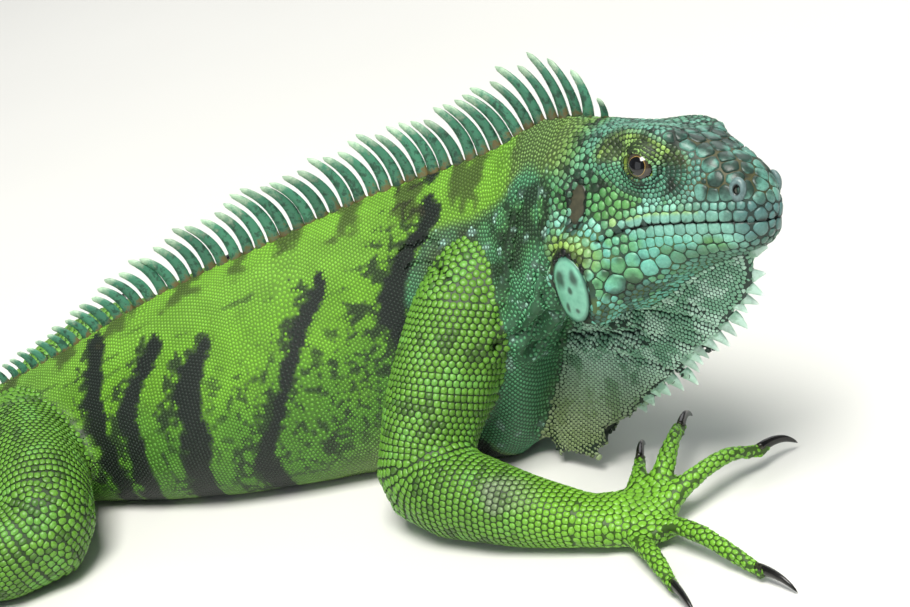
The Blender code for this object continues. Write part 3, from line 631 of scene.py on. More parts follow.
def seat_ovals(points):
    """Hollow the skin under the eardrums and the jowl plates, and keep the planes they are set in."""
    local = to_head(points)
    for side in (-1.0, 1.0):
        turned = local * (1, side, 1)
        for key, centre, half in (("tympanum", DRUM, DRUM_HALF), ("jowl_plate", PLATE, PLATE_HALF)):
            plane = seat_plane(turned, centre, half)
            q, close = oval_place(turned, centre, half)
            if key == "jowl_plate":
                plane[0] += (1 - FACING) * plane[1] * (centre[0] + 0.6 * half[0])
                plane[1] *= FACING
                level = plane[0] + plane[1] * turned[:, 0] + plane[2] * turned[:, 2]
                turned[:, 1] += close * ramp(q, 1.35, 1.0) * (level - turned[:, 1])
            seats[key, side] = plane
            floor = plane[0] + plane[1] * turned[:, 0] + plane[2] * turned[:, 2] - SEAT_DEEP
            deep = close * ramp(q, 1.02, 0.88)
            turned[:, 1] += deep * np.minimum(floor - turned[:, 1], 0)
        local = turned * (1, side, 1)
    return from_head(local)


seats = {}
points = fold_neck(read_points(skin.data), vertex_normals(skin.data))
write_points(skin.data, points)
points = seat_ovals(shape_face(read_points(skin.data), vertex_normals(skin.data)))
points[:, 2] = np.maximum(points[:, 2], 0.25)
write_points(skin.data, points)
skin_points = read_points(skin.data)
skin_normals = vertex_normals(skin.data)
polygon_corners = [tuple(polygon.vertices) for polygon in skin.data.polygons]
skin_tree = BVHTree.FromPolygons([Vector(point) for point in skin_points], polygon_corners)
print("skin height:", skin_points[:, 2].max().round(1), "mm")

# %% [markdown]
# ## Which part of the body is where
# Scales differ from part to part, so every place on the skin needs to know which solid it came from. The nearest
# solid gives that. Centre lines through the trunk and tail, the limbs and the digits then say how far along and
# how far round each place is. They are found from the solids themselves: the middle of each cut between two
# neighbours, and the middles of the pieces.

# %% Parts and centre lines
def tree_of(names):
    """A search tree of several solids' surfaces together."""
    points = [Vector(point) for name in names for point in flesh[name][0]]
    faces, first = [], 0
    for name in names:
        faces += [tuple(int(i) + first for i in triangle) for triangle in flesh[name][1]]
        first += len(flesh[name][0])
    return BVHTree.FromPolygons(points, faces)


part_names = np.array(sorted(flesh))
part_words = np.array([name.split("_")[0] for name in part_names])
part_tree = tree_of(part_names)
part_of_face = [index for index, name in enumerate(part_names) for _ in flesh[name][1]]


def on_head(parts):
    return np.isin(part_words[parts], HEAD_WORDS)


def parts_at(points):
    """The number of the nearest part for each point."""
    return np.array([part_of_face[part_tree.find_nearest(Vector(point))[2]] for point in points])


def cut_between(one, other):
    """The middle of the cut between two neighbouring solids."""
    a, b = flesh[one][0], flesh[other][0]
    close = [point for point in a if lengths(b - point).min() < 0.7]
    close = np.array(close) if len(close) > 3 else np.vstack([a, b])
    return (close.min(axis=0) + close.max(axis=0)) / 2


def middle(name):
    """The middle of a solid's surface."""
    points, triangles = flesh[name]
    corners = points[triangles]
    areas = areas_of(corners)
    return (corners.mean(axis=1) * areas[:, None]).sum(axis=0) / areas.sum()


chain = ["head", "neck", "chest", "belly", "pelvis"] + TAIL
knots = [cut_between(one, other) for one, other in zip(chain, chain[1:])]
last = flesh[TAIL[-1]][0]
tail_tip = last[np.argmax(lengths(last - knots[-1]))]
body_line = smooth_line([middle("head")] + knots + [tail_tip], 1.0)
body_tree = kd_tree(body_line)
body_ahead, body_side, body_rise = frame_along(body_line)
print("body line:", len(body_line), "mm long")

# %% [markdown]
# ## Seeds of the scales
# Each scale grows from a seed, a point on the skin. On the trunk, tail, limbs and digits the seeds stand in
# rings across the centre line, each ring half a scale out of step with the last, which is how lizard scales
# pack. Rays shot outwards from the centre line find where each ring meets the body. The number in a ring
# changes only when the girth has changed by an eighth, so that rows run on unbroken.

# %% Rings of seeds
RAYS = 96
RING_FINE = 0.25
COUNT_SLACK = 0.12


def ring_lattice(line, tree, width, squash=0.87):
    """Seeds on the body round a centre line; width gives a scale's width for a share of the line's length."""
    path = smooth_line(line, RING_FINE)
    ahead, side, rise = frame_along(path)
    turns = circle(RAYS)
    seeds, backs = [], []
    place, odd, count = 0.0, 0, None
    while place < len(path) - 1:
        here = int(place)
        ring = []
        for turn in turns:
            way = rise[here] * math.cos(turn) + side[here] * math.sin(turn)
            hit = tree.ray_cast(Vector(path[here]), Vector(way))[0]
            if hit is not None:
                ring.append(hit)
        size = width(place / len(path))
        if len(ring) > RAYS * 0.7:
            ring = np.array(ring + ring[:1])
            steps = steps_along(ring)
            wanted = max(5.0, steps[-1] / size)
            if count is None or abs(count - wanted) > COUNT_SLACK * count:
                count = int(round(wanted))
            places = (np.arange(count) + 0.5 * odd) / count * steps[-1]
            seeds.append(part_way(places, steps, ring))
            backs.append(np.tile(ahead[here], (count, 1)))
        odd = 1 - odd
        place += size * squash / RING_FINE
    return np.vstack(seeds), np.vstack(backs)


TRUNK_SCALE, TAIL_SCALE, LIMB_SCALE, DIGIT_SCALE = 1.35, 2.4, 2.4, 2.1
seed_sets = []


def add_seeds(seeds, backs, size, fixed=False):
    count = len(seeds)
    sizes = np.full(count, size) if np.isscalar(size) else np.asarray(size)
    seed_sets.append((seeds, backs, sizes, np.full(count, fixed)))


tail_start = np.argmin(lengths(body_line - knots[4])) / len(body_line)
neck_start = np.argmin(lengths(body_line - knots[0])) / len(body_line)
core_tree = tree_of(["head"] + TRUNK + TAIL)


def body_width(share):
    """Width of the scales for a share of the neck's, trunk's and tail's length."""
    share = neck_start + share * (1 - neck_start)
    wide = TRUNK_SCALE + (TAIL_SCALE - TRUNK_SCALE) * float(ramp(share, tail_start - 0.05, tail_start + 0.08))
    return wide * (1 - 0.45 * float(ramp(share, 0.75, 1.0)))


trunk_path = smooth_line(knots + [tail_tip], 1.0)
seeds, backs = ring_lattice(trunk_path[::6], core_tree, body_width)
add_seeds(seeds, backs, 2.0)
print("trunk and tail seeds:", len(seeds))

# %% [markdown]
# ## Rings on limbs and digits
# An arm or leg gets the same rings round a line through its joints. A finger's line isn't known beforehand: it is
# walked from the claw into the hand, step by step, through the middle of the flesh that lies near.

# %% Limbs and digits
limb_lines, digit_lines = {}, {}


def digit_line(tree_points, claw):
    """A digit's centre line, walked from its claw back into the hand."""
    points = read_node(claw)[0]
    tip = points[np.argmax(lengths(points - tree_points.mean(axis=0)))]
    spot = points[np.argsort(-lengths(points - tip))[:4]].mean(axis=0)
    way = unit(spot - tip)
    line = [spot - way]
    for _ in range(10):
        guess = line[-1] + way * 3.5
        near = tree_points[lengths(tree_points - guess) < 5.6]
        if len(near) < 12:
            break
        centre = near.mean(axis=0)
        spread = near - centre
        if lengths(spread - np.outer(spread @ way, way)).mean() > 4.6:
            break
        centre = centre - way * np.dot(centre - guess, way)
        way = unit(centre - line[-1])
        line.append(centre)
    return np.array(line)


CLOUD = 6000
DIGIT_STEP, DIGIT_SQUASH = 3.0, 0.66
for limb, (upper, lower, end) in LIMBS.items():
    tree = tree_of([upper, lower, end])
    top, bend, mid, wrist = middle(upper), cut_between(upper, lower), middle(lower), cut_between(lower, end)
    line = [top + (top - bend) * 0.9, top, bend, mid, wrist, wrist + unit(wrist - mid) * 9.0]
    limb_lines[limb] = smooth_line(line, 1.0)
    seeds, backs = ring_lattice(line, tree, lambda t: LIMB_SCALE)
    add_seeds(seeds, backs, LIMB_SCALE)
    corners = flesh[end][0][flesh[end][1]]
    cloud = strewn_over(corners, areas_of(corners), CLOUD)
    word = "hand" if limb.startswith("arm") else "foot"
    for number in range(1, 6):
        claw = f"claw_{word}_{limb.split('_')[1]}_{number}"
        line = digit_line(cloud, claw)
        digit_lines[claw] = line
        if len(line) > 2:
            seeds, backs = ring_lattice(line, tree_of([end]), lambda t: DIGIT_STEP, DIGIT_SQUASH)
            add_seeds(seeds, -backs, DIGIT_SCALE)
print("digit lines:", {key[5:]: len(line) for key, line in digit_lines.items()})

# %% [markdown]
# ## Seeds on the dewlap
# The dewlap is a sheet, so its beads stand in slanting rows on each face, found by rays shot at it from both
# sides.

# %% Dewlap seeds
BEAD = 1.55
BEAD_LEAN = unit((-0.7, 0.0, -0.7))
dewlap_tree = tree_of(["dewlap"])
low, high = flesh["dewlap"][0].min(axis=0), flesh["dewlap"][0].max(axis=0)
for side in (-1.0, 1.0):
    seeds = []
    rows = int((high[2] - low[2] + high[0] - low[0]) / BEAD)
    for row in range(-rows, rows):
        for column in range(rows):
            x = high[0] - (column + 0.5 * (row % 2)) * BEAD * 0.80 - row * BEAD * 0.45
            z = high[2] - row * BEAD * 0.76 - column * BEAD * 0.62
            if low[0] < x < high[0] and low[2] < z < high[2]:
                hit = dewlap_tree.ray_cast(Vector((x, side * 200, z)), Vector((0, -side, 0)))[0]
                if hit is not None:
                    seeds.append(hit)
    seeds = np.array(seeds)
    add_seeds(seeds, np.tile(BEAD_LEAN, (len(seeds), 1)), BEAD)
print("dewlap beads:", sum(len(s[0]) for s in seed_sets[-2:]))

# %% [markdown]
# ## How wide a scale is where
# One function gives the wanted width of a scale anywhere: small beads round the eyes, mosaic plates on the snout,
# cobbles on the cheek and temple, fine grain on the neck and flanks, broader lozenges on the legs.

# %% Scale widths
def scale_width(points, parts):
    """The wanted width of a scale at each point."""
    wide = np.full(len(points), TRUNK_SCALE)
    local = folded(points)
    x, y, z = local.T
    for words, size in ((("arm", "thigh", "shin"), LIMB_SCALE), (("hand", "foot"), DIGIT_SCALE),
                        (("tail",), TAIL_SCALE), (("dewlap",), BEAD), (("neck",), 1.45)):
        wide[np.array([any(word in name for word in words) for name in part_names[parts]])] = size
    face = np.full(len(points), 2.0)
    face = np.where(x > -52, 2.5, face)
    snout = ramp(x, -34, -24) * ramp(z, 1.0, 5.0)
    face = face + snout * (4.3 - face)
    jaw = ramp(z, -8, -13) * ramp(x, -52, -48)
    face = face + jaw * (np.interp(x, (-50, -30, -8), (3.0, 3.0, 2.6)) - face)
    under = ramp(z - np.interp(x, (-50, -20, 0), (-29, -14, -10)), 1.0, -3.0) * (x > -62)
    face = face + under * (1.7 - face)
    face = np.where((z > 17) & (x < -28), 1.7, face)
    q = eye_place(local)[0]
    face = np.where((q < 3.2) & (y > 6), 1.0 + 0.35 * ramp(q, 1.0, 3.0), face)
    return np.where(on_head(parts), face, wide)


# %% [markdown]
# ## Rows of plates on the face
# A lizard's lips carry a row of squarish plates each, and a row of round ones grows along the jaw towards the
# jowl. Each row follows a line drawn on the side of the head, and its seeds are found by rays shot at the
# head from that side. Rings of fine beads circle the lids.

# %% Plates
PLATE_ROWS = [
    ("upper lip", [(0.0, -1.9), (-8, -1.8), (-20, -2.4), (-32, -3.5), (-41, -5.8)], (4.2, 2.7)),
    ("above lip", [(-1.5, 0.9), (-9, 0.8), (-20, 0.2), (-32, -0.8), (-41, -3.0)], (2.6, 2.2)),
    ("lower lip", [(0.0, -5.6), (-8, -5.6), (-20, -6.3), (-32, -7.6), (-43, -10.6)], (4.0, 2.6)),
    ("below lip", [(-2.5, -8.4), (-10, -8.6), (-20, -9.3), (-32, -10.8), (-45, -14.2)], (3.0, 2.7)),
    ("jaw", [(-8.0, -11.4), (-16, -12.8), (-26, -15.8), (-36, -20.0), (-43.5, -24.4)], (2.8, 6.4)),
    ("above jaw", [(-14.0, -10.6), (-24, -12.2), (-34, -15.2), (-45, -18.9)], (2.8, 5.0)),
]
CROWN_PLATES = [(-10, 0, 5.0), (-11.5, 5.0, 4.4), (-16, 2.6, 5.2), (-17.5, 7.4, 4.8), (-21.5, 0, 5.0),
                (-22.5, 5.2, 4.8), (-25.5, 9.0, 4.6), (-27, 2.6, 4.2), (-6.0, 2.8, 3.6)]
PLATE_FINE = 0.2
head_tree = tree_of([name for name in flesh if name.split("_")[0] in HEAD_WORDS])


def side_hit(x, z, side):
    """Where the head's right side, -1, or left side, 1, stands over a place in its profile."""
    start, way = from_head((x, side * 60.0, z)), -side * head_y
    return head_tree.ray_cast(Vector(start), Vector(way))[0]


for _, line, sizes in PLATE_ROWS:
    path = smooth_line(line, PLATE_FINE)
    for side in (-1.0, 1.0):
        place, seeds, widths = 0.0, [], []
        while place < len(path):
            x, z = path[int(place)]
            size = float(np.interp(place / len(path), (0, 1), sizes))
            hit = side_hit(x, z, side)
            if hit is not None:
                seeds.append(hit)
                widths.append(size)
            place += size / PLATE_FINE
        add_seeds(np.array(seeds), np.tile(-head_x, (len(seeds), 1)), widths, fixed=True)

crown, widths = [], []
for x, y, size in CROWN_PLATES:
    for side in (-1.0, 1.0) if y else (1.0,):
        hit = head_tree.ray_cast(Vector(from_head((x, y * side, 60.0))), Vector(-head_z))[0]
        crown.append(hit)
        widths.append(size)
add_seeds(np.array(crown), np.tile(-head_x, (len(crown), 1)), widths, fixed=True)

LID_RINGS = (1.20, 1.46, 1.74, 2.06, 2.42, 2.82)
for side in (-1.0, 1.0):
    seeds, backs, widths = [], [], []
    for index, ring in enumerate(LID_RINGS):
        width = 1.0 + 0.09 * index
        girth = 2 * math.pi * ring * (LID_HALF[0] + LID_HALF[1]) / 2
        count = int(girth / width)
        for k in range(count):
            turn = 2 * math.pi * (k + 0.5 * (index % 2)) / count
            u = ring * LID_HALF[0] * math.copysign(abs(math.cos(turn)) ** 1.1, math.cos(turn))
            v = ring * LID_HALF[1] * math.sin(turn)
            x = EYE[0] + u * math.cos(LID_TURN) - v * math.sin(LID_TURN)
            z = EYE[2] + u * math.sin(LID_TURN) + v * math.cos(LID_TURN)
            hit = side_hit(x, z, side)
            if hit is not None and abs(to_head(hit)[1]) > 8:
                seeds.append(hit)
                backs.append(from_head((math.cos(turn), 0, math.sin(turn))) - head_at)
                widths.append(width)
    add_seeds(np.array(seeds), np.array(backs), widths, fixed=True)
print("seeds in all:", sum(len(s[0]) for s in seed_sets))

# %% [markdown]
# ## Thinning, filling and evening out
# Where two lattices meet, such as at a shoulder, seeds crowd or leave gaps. Crowded ones are dropped, earlier
# sets giving way to the face's plates. Gaps are filled from points strewn over the skin. Then every loose seed
# is moved a few times to the middle of its own cell, which evens them out as growth does.

# %% Settle the seeds
REACH = 2.2
EYE_CLEAR, NOSTRIL_CLEAR = 1.08, 2.6
PLATE_CLEAR = (7.8, 10.8)
CROWDED = 0.72
STREWN_PER_MM2 = 1.5
BUCKET = 5.0
order = sorted(range(len(seed_sets)), key=lambda k: not seed_sets[k][3][0])
seeds, backs, widths, fixed = (np.concatenate([seed_sets[k][part] for k in order]) for part in range(4))
hits = [skin_tree.find_nearest(Vector(seed)) for seed in seeds]
distance = np.array([hit[3] for hit in hits])
seeds = np.array([hit[0] for hit in hits])
near = distance < REACH
seeds, backs, fixed, widths = seeds[near], backs[near], fixed[near], widths[near]
parts = parts_at(seeds)
wanted = scale_width(seeds, parts)
widths = np.where(fixed, widths, wanted)
print("on the skin:", len(seeds))


def outside_openings(points):
    """False in the lids' openings, the nostrils, and under the eardrums and jowl plates."""
    local = folded(points)
    away = lengths(local - EYE)
    keep = ~((eye_place(local)[0] < EYE_CLEAR) & (away < 9))
    keep &= lengths(local - NOSTRIL) > NOSTRIL_CLEAR
    for centre, half in ((DRUM, DRUM_HALF), (PLATE, PLATE_CLEAR)):
        q, close = oval_place(local, centre, half, 7.0)
        keep &= ~((q < 1.02) & close)
    return keep


keep = outside_openings(seeds)
tree = kd_tree(seeds)
for index in range(len(seeds)):
    if keep[index]:
        for _, other, gap in tree.find_range(seeds[index], widths[index] * CROWDED):
            if other > index and keep[other]:
                crowded = gap < CROWDED * min(widths[index], max(widths[other], 1.3))
                keep[other] = not (crowded or fixed[index] and gap < 0.40 * (widths[index] + widths[other]))
seeds, backs, fixed, widths, parts = seeds[keep], backs[keep], fixed[keep], widths[keep], parts[keep]
print("after thinning:", len(seeds))

corner_lists = [corners if len(corners) == 3 else corners[:3] for corners in polygon_corners]
corner_lists += [(corners[0], corners[2], corners[3]) for corners in polygon_corners if len(corners) == 4]
triangles = skin_points[np.array(corner_lists)]
areas = areas_of(triangles)
strewn = strewn_over(triangles, areas, int(areas.sum() * STREWN_PER_MM2))
strewn = strewn[outside_openings(strewn)]
tree = kd_tree(seeds)
found = [tree.find(point) for point in strewn]
gap = np.array([hit[2] for hit in found])
nearest = np.array([hit[1] for hit in found])
loose = gap > 0.8
strewn, gap, nearest = strewn[loose], gap[loose], nearest[loose]
strewn_parts = parts_at(strewn)
strewn_widths = scale_width(strewn, strewn_parts)
empty = gap > 0.45 * (strewn_widths + widths[nearest])
strewn, strewn_parts, strewn_widths = strewn[empty], strewn_parts[empty], strewn_widths[empty]
order = np.argsort(-strewn_widths + rng.random(len(strewn)) * 0.3)
grid, added = {}, []
for index in order:
    point, width = strewn[index], strewn_widths[index]
    cell = tuple(np.floor(point / BUCKET).astype(int))
    crowd = [k for dx in (-1, 0, 1) for dy in (-1, 0, 1) for dz in (-1, 0, 1)
             for k in grid.get((cell[0] + dx, cell[1] + dy, cell[2] + dz), ())]
    if crowd and (lengths(strewn[crowd] - point) < 0.43 * (strewn_widths[crowd] + width)).any():
        continue
    grid.setdefault(cell, []).append(index)
    added.append(index)
added_backs = body_ahead[[body_tree.find(point)[1] for point in strewn[added]]]
seeds = np.vstack([seeds, strewn[added]])
backs = np.vstack([backs, added_backs])
widths = np.concatenate([widths, strewn_widths[added]])
fixed = np.concatenate([fixed, np.zeros(len(added), bool)])
parts = np.concatenate([parts, strewn_parts[added]])
settled = np.concatenate([np.ones(len(seeds) - len(added), bool), np.zeros(len(added), bool)])
print("filled in:", len(added), "seeds in all:", len(seeds))

# %% [markdown]
# ## Cells
# A scale's outline is what is left to it between its neighbours. In the plane that touches the skin at its
# seed, the line half way to each neighbour bounds the cell, nearer to the smaller of the two. The outline is
# read at equal angles with a soft minimum, so its corners come out round, as a scale's do. How the neighbours
# fall away below the plane gives the curve of the body under it.

# %% Cell outlines
NEIGHBOURS = 11
CORNER = 10.0  # the higher, the sharper the corners of a cell
FALL, RISE = 0.55, 0.25  # limits of the skin's curve under a cell, per mm
skin_kd = kd_tree(skin_points)


def frames_at(seeds, backs):
    """The skin's normal, the way to the rear along the skin and the way across, at each seed."""
    normals = unit(skin_normals[[skin_kd.find(seed)[1] for seed in seeds]])
    rear = unit(backs - normals * (backs * normals).sum(axis=1, keepdims=True))
    return normals, rear, np.cross(normals, rear)


def cell_plan(chosen, near, rear, across):
    """The chosen seeds' neighbours seen in their planes: ways to them, those ways laid flat, their lengths
    squared, and the share of each way that belongs to the chosen one."""
    ways = seeds[near] - seeds[chosen][:, None]
    flat = np.stack([(ways * rear[:, None]).sum(2), (ways * across[:, None]).sum(2)], axis=2)
    shares = widths[chosen][:, None] / (widths[chosen][:, None] + widths[near])
    return ways, flat, (flat ** 2).sum(2) + 1e-9, shares


def reach_toward(turn, flat, length2, shares):
    """How far a cell reaches in one direction before each neighbour's half begins."""
    toward = flat @ turn
    return np.where(toward > 1e-6, shares * length2 / np.maximum(toward, 1e-6), 1e3)


def outlines(chosen, near, normals, rear, across, angles):
    """Radius of each chosen cell and drop of the skin at each angle; angles start at the rear."""
    ways, flat, length2, shares = cell_plan(chosen, near, rear, across)
    below = (ways * normals[:, None]).sum(2)
    radii, drops = [], []
    for angle in angles:
        reach = reach_toward(np.array([math.cos(angle), math.sin(angle)]), flat, length2, shares)
        power = np.maximum(reach, 1e-3) ** -CORNER
        total = power.sum(1)
        radius = np.minimum(total ** (-1 / CORNER), 0.64 * widths[chosen] + 0.28)
        bend = (power * below / length2).sum(1) / total
        radii.append(radius)
        drops.append(np.clip(bend, -FALL, RISE) * radius ** 2)
    return np.array(radii).T, np.array(drops).T


def find_neighbours(seeds):
    tree = kd_tree(seeds)
    return np.array([[index for _, index, _ in tree.find_n(seed, NEIGHBOURS + 1)][1:] for seed in seeds])


ANGLES = circle(8)
STEPS, GENTLE_STEPS = 6, 2
of_head = on_head(parts)
for step in range(STEPS):
    chosen = np.flatnonzero(~fixed & ((step < GENTLE_STEPS) | of_head | ~settled))
    neighbours = find_neighbours(seeds)
    normals, rear, across = frames_at(seeds[chosen], backs[chosen])
    plan = cell_plan(chosen, neighbours[chosen], rear, across)[1:]
    move = np.zeros((len(chosen), 2))
    weight = np.zeros(len(chosen))
    for angle in ANGLES:
        turn = np.array([math.cos(angle), math.sin(angle)])
        reach = np.minimum(reach_toward(turn, *plan).min(1), 0.9 * widths[chosen])
        move += turn * (reach ** 3)[:, None]
        weight += reach ** 2
    move *= (2 / 3) / weight[:, None] * (0.5 if step < GENTLE_STEPS else 0.9)
    moved = seeds[chosen] + rear * move[:, :1] + across * move[:, 1:]
    seeds[chosen] = np.array([skin_tree.find_nearest(Vector(point))[0] for point in moved])
neighbours = find_neighbours(seeds)
normals, rear, across = frames_at(seeds, backs)
print("scales:", len(seeds))

# %% [markdown]
# ## Markings
# Colour is worked out for any place on the body, by the part it lies on and where along and round the trunk it
# is, so the skin and the scales over it always agree. A green iguana is bright green on the back, with dark
# bands down its flanks that have one crisp edge and break into specks on the other, and its head is blue-green
# with yellowish seams. Each place gets two colours, the scale's own and the darker or paler one of its rim.

# %% Palette
PALETTE = {key: linear(code) for key, code in {
    "trunk": "#78b62a", "back": "#80bc38", "flank": "#4f8a2c", "rear": "#6b9a40", "belly": "#7d9a55",
    "stripe": "#1d2c22", "dark": "#141f15", "brown": "#5d5733", "earth": "#3d3f24",
    "neck": "#5fa878", "neck dark": "#28432a", "nape": "#7f9b4a", "spot": "#a5d2c0",
    "arm": "#639a30", "hand": "#72ae2e", "mauve": "#7d8474", "tail": "#74854a", "tail dark": "#353b2a",
    "crown": "#5a8f80", "snout": "#6fa595", "cheek": "#68a47a", "aqua": "#90d2be", "leaf": "#5f9c4c",
    "lip": "#77ad9d", "jaw": "#67b09c", "temple": "#43874f", "brow": "#438f45", "lid": "#4a8a6c",
    # The near-black here is painted shade: it goes into the mouth's line, the nostrils' pits, the grooves round jowl
    # plates and eardrums, and the lids' openings.
    "chin": "#55806b", "yellow": "#9fc047", "ochre": "#8f8a52", "black": "#070b09", "slate": "#43666b",
    "dewlap": "#7db193", "bead": "#bfe3cf", "dewlap low": "#8f9c62", "dewlap gap": "#0b211c",
}.items()}

# Each stripe: a line down the flank, half its width, and how far behind it the specks go.
STRIPES = [
    ([(-6, -19.5, 91), (-14, -27.5, 81), (-20, -33.5, 70.5), (-21, -37.5, 65)], 5.2, 26.0),
    ([(-49, -37, 73), (-54, -48, 61), (-58, -58, 47), (-64, -67, 31), (-69.5, -69.5, 20)], 4.4, 17.0),
    ([(-92, -58, 59), (-95, -66, 50), (-96, -70, 44), (-93, -77, 28), (-97, -75, 9)], 4.6, 12.0),
    ([(-114, -59, 59.5), (-120.5, -70, 47), (-122, -76, 38), (-118.5, -81.5, 20), (-121, -79, 8)], 4.2, 9.0),
    ([(-143, -57, 59), (-140, -68, 49), (-137, -77, 37.5), (-131, -82, 24), (-132, -81, 8)], 4.4, 8.0),
]


def along_body(points):
    """Millimetres along the centre line, the angle from the top down either side, and which side."""
    place = np.array([body_tree.find(point)[1] for point in points])
    away = points - body_line[place]
    across = (away * body_side[place]).sum(1)
    high = (away * body_rise[place]).sum(1)
    return place.astype(float), np.arctan2(abs(across), high), np.sign(across)


TAIL_BAND = 34.0
MAUVE_AT, MAUVE_HALF = (37, -79, 22), (13, 9, 7)
stripe_lines = []
for line, half, fade in STRIPES:
    place, angle, _ = along_body(smooth_line(line, 3.0))
    order = np.argsort(angle)
    stripe_lines.append((place[order], angle[order], half, fade))


# %% [markdown]
# ## Colour at a place
# The rules are written for arrays of places. Bands, mottling and specks are thresholds on smooth noise, bent by how
# far along and round the body a place is. Painting by hand would give the same, but not on skin and scales at once.

# %% Colour at a place
def painted(colours, layers):
    """Palette colours laid over one another in turn, each with its share at every point."""
    for key, share in layers.items():
        colours = blend(colours, PALETTE[key], share)
    return colours


def trunk_colours(points, place, angle, side, lot):
    """Colours of the neck, trunk and pelvis."""
    P = PALETTE
    coarse, middling, fine = noise(points, 14.0, 1), noise(points, 5.0, 2), noise(points, 2.4, 3)
    hide = blend(P["back"], P["trunk"], ramp(angle, 0.4, 0.9))
    hide = painted(hide, {
        "flank": ramp(angle + 0.6 * (coarse - 0.5), 1.2, 2.0) * 0.85,
        "belly": ramp(angle, 2.1, 2.5) * 0.8,
        "rear": ramp(place, stripe_lines[3][0].max(), stripe_lines[4][0].max() + 50) * 0.8,
    })
    hide = hide * (0.78 + 0.34 * middling + 0.12 * lot)[:, None]
    dark = np.zeros(len(points))
    for places, angles, half, fade in stripe_lines:
        off = place - np.interp(angle, angles, places)
        off += 1.1 * abs(np.sin(angle * 7 + side)) + 3.0 * (noise(points, 9.0, 4) - 0.5)
        reach = half * ramp(angle, angles[0] - 0.25, angles[0] + 0.15)
        behind = ramp(off, reach + fade, reach)
        rough = 4.5 * (fine - 0.5) + 2.5 * (middling - 0.5)
        solid = ramp(off, -reach - 0.2, -reach + 0.4) * ramp(off + rough, reach + 1.5, reach - 0.5)
        web = abs(noise(points * (1.0, 1.0, 0.8), 3.8, 11) - 0.5) < 0.17 * behind - 0.02
        web = web & (off > -reach) & (noise(points, 2.0, 12) > 0.25)
        dark = np.maximum(dark, np.maximum(solid, web * 0.85) * (reach > 0.2 * half))
    between = ramp(place, stripe_lines[0][0].min(), stripe_lines[0][0].min() + 12)
    between *= ramp(place, stripe_lines[2][0].max() + 10, stripe_lines[1][0].max())
    low_web = (abs(noise(points, 3.2, 13) - 0.5) < 0.085) & (noise(points, 1.8, 14) > 0.38)
    dark = np.maximum(dark, low_web * between * ramp(angle, 1.0, 1.35) * ramp(angle, 2.4, 2.1) * 0.8)
    specks = noise(points, 2.6, 9) > 0.80
    dark = np.maximum(dark, specks * ramp(angle, 0.9, 1.2) * ramp(angle, 2.4, 2.1) * 0.6)
    dash = noise(np.column_stack([place, angle * 60, side * 20]) / (5.0, 1.0, 1.0), 3.2, 15)
    dark = np.maximum(dark, (dash > 0.70) * ramp(angle, 0.30, 0.40) * ramp(angle, 0.95, 0.7) * 0.55)
    hide = blend(hide, P["stripe"], dark)
    foot = ramp(abs((place - 8) % 27.0 - 13.5) + 9 * (middling - 0.5) + 5 * (fine - 0.5), 7.0, 4.5)
    hide = blend(hide, P["earth"], foot * ramp(angle + 0.25 * (fine - 0.5), 0.30, 0.18) * 0.75)
    seam = hide * (0.50 - 0.2 * dark)[:, None]

    places, angles, half, _ = stripe_lines[0]
    front = np.interp(angle, angles, places) - half
    ahead = ramp(place, front + 1.0, front - 2.0) * ramp(angle, 0.30, 0.48)
    ahead = np.maximum(ahead, ramp(place, front - 24, front - 50))
    neck = blend(P["neck"], hide, ramp(coarse, 0.45, 0.75) * 0.35)
    mottled = ramp(0.6 * coarse + 0.6 * middling, 0.56, 0.72) * ramp(angle, 0.35, 0.6) * ramp(angle, 1.9, 1.5)
    shoulder = np.exp(-(lengths(points - (0.0, -33.0, 79.0)) / 13.0) ** 2)
    neck = painted(neck, {
        "neck dark": mottled * 0.9,
        "nape": ramp(angle, 0.55, 0.3) * 0.8,
        "brown": shoulder * 0.8,
        "spot": ramp(noise(points, 3.6, 16), 0.74, 0.82) * ramp(angle, 0.3, 0.5) * 0.85,
    })
    neck = neck * (0.82 + 0.3 * lot)[:, None]
    hide = blend(hide, neck, ahead)
    return hide, blend(seam, neck * 0.30, ahead)


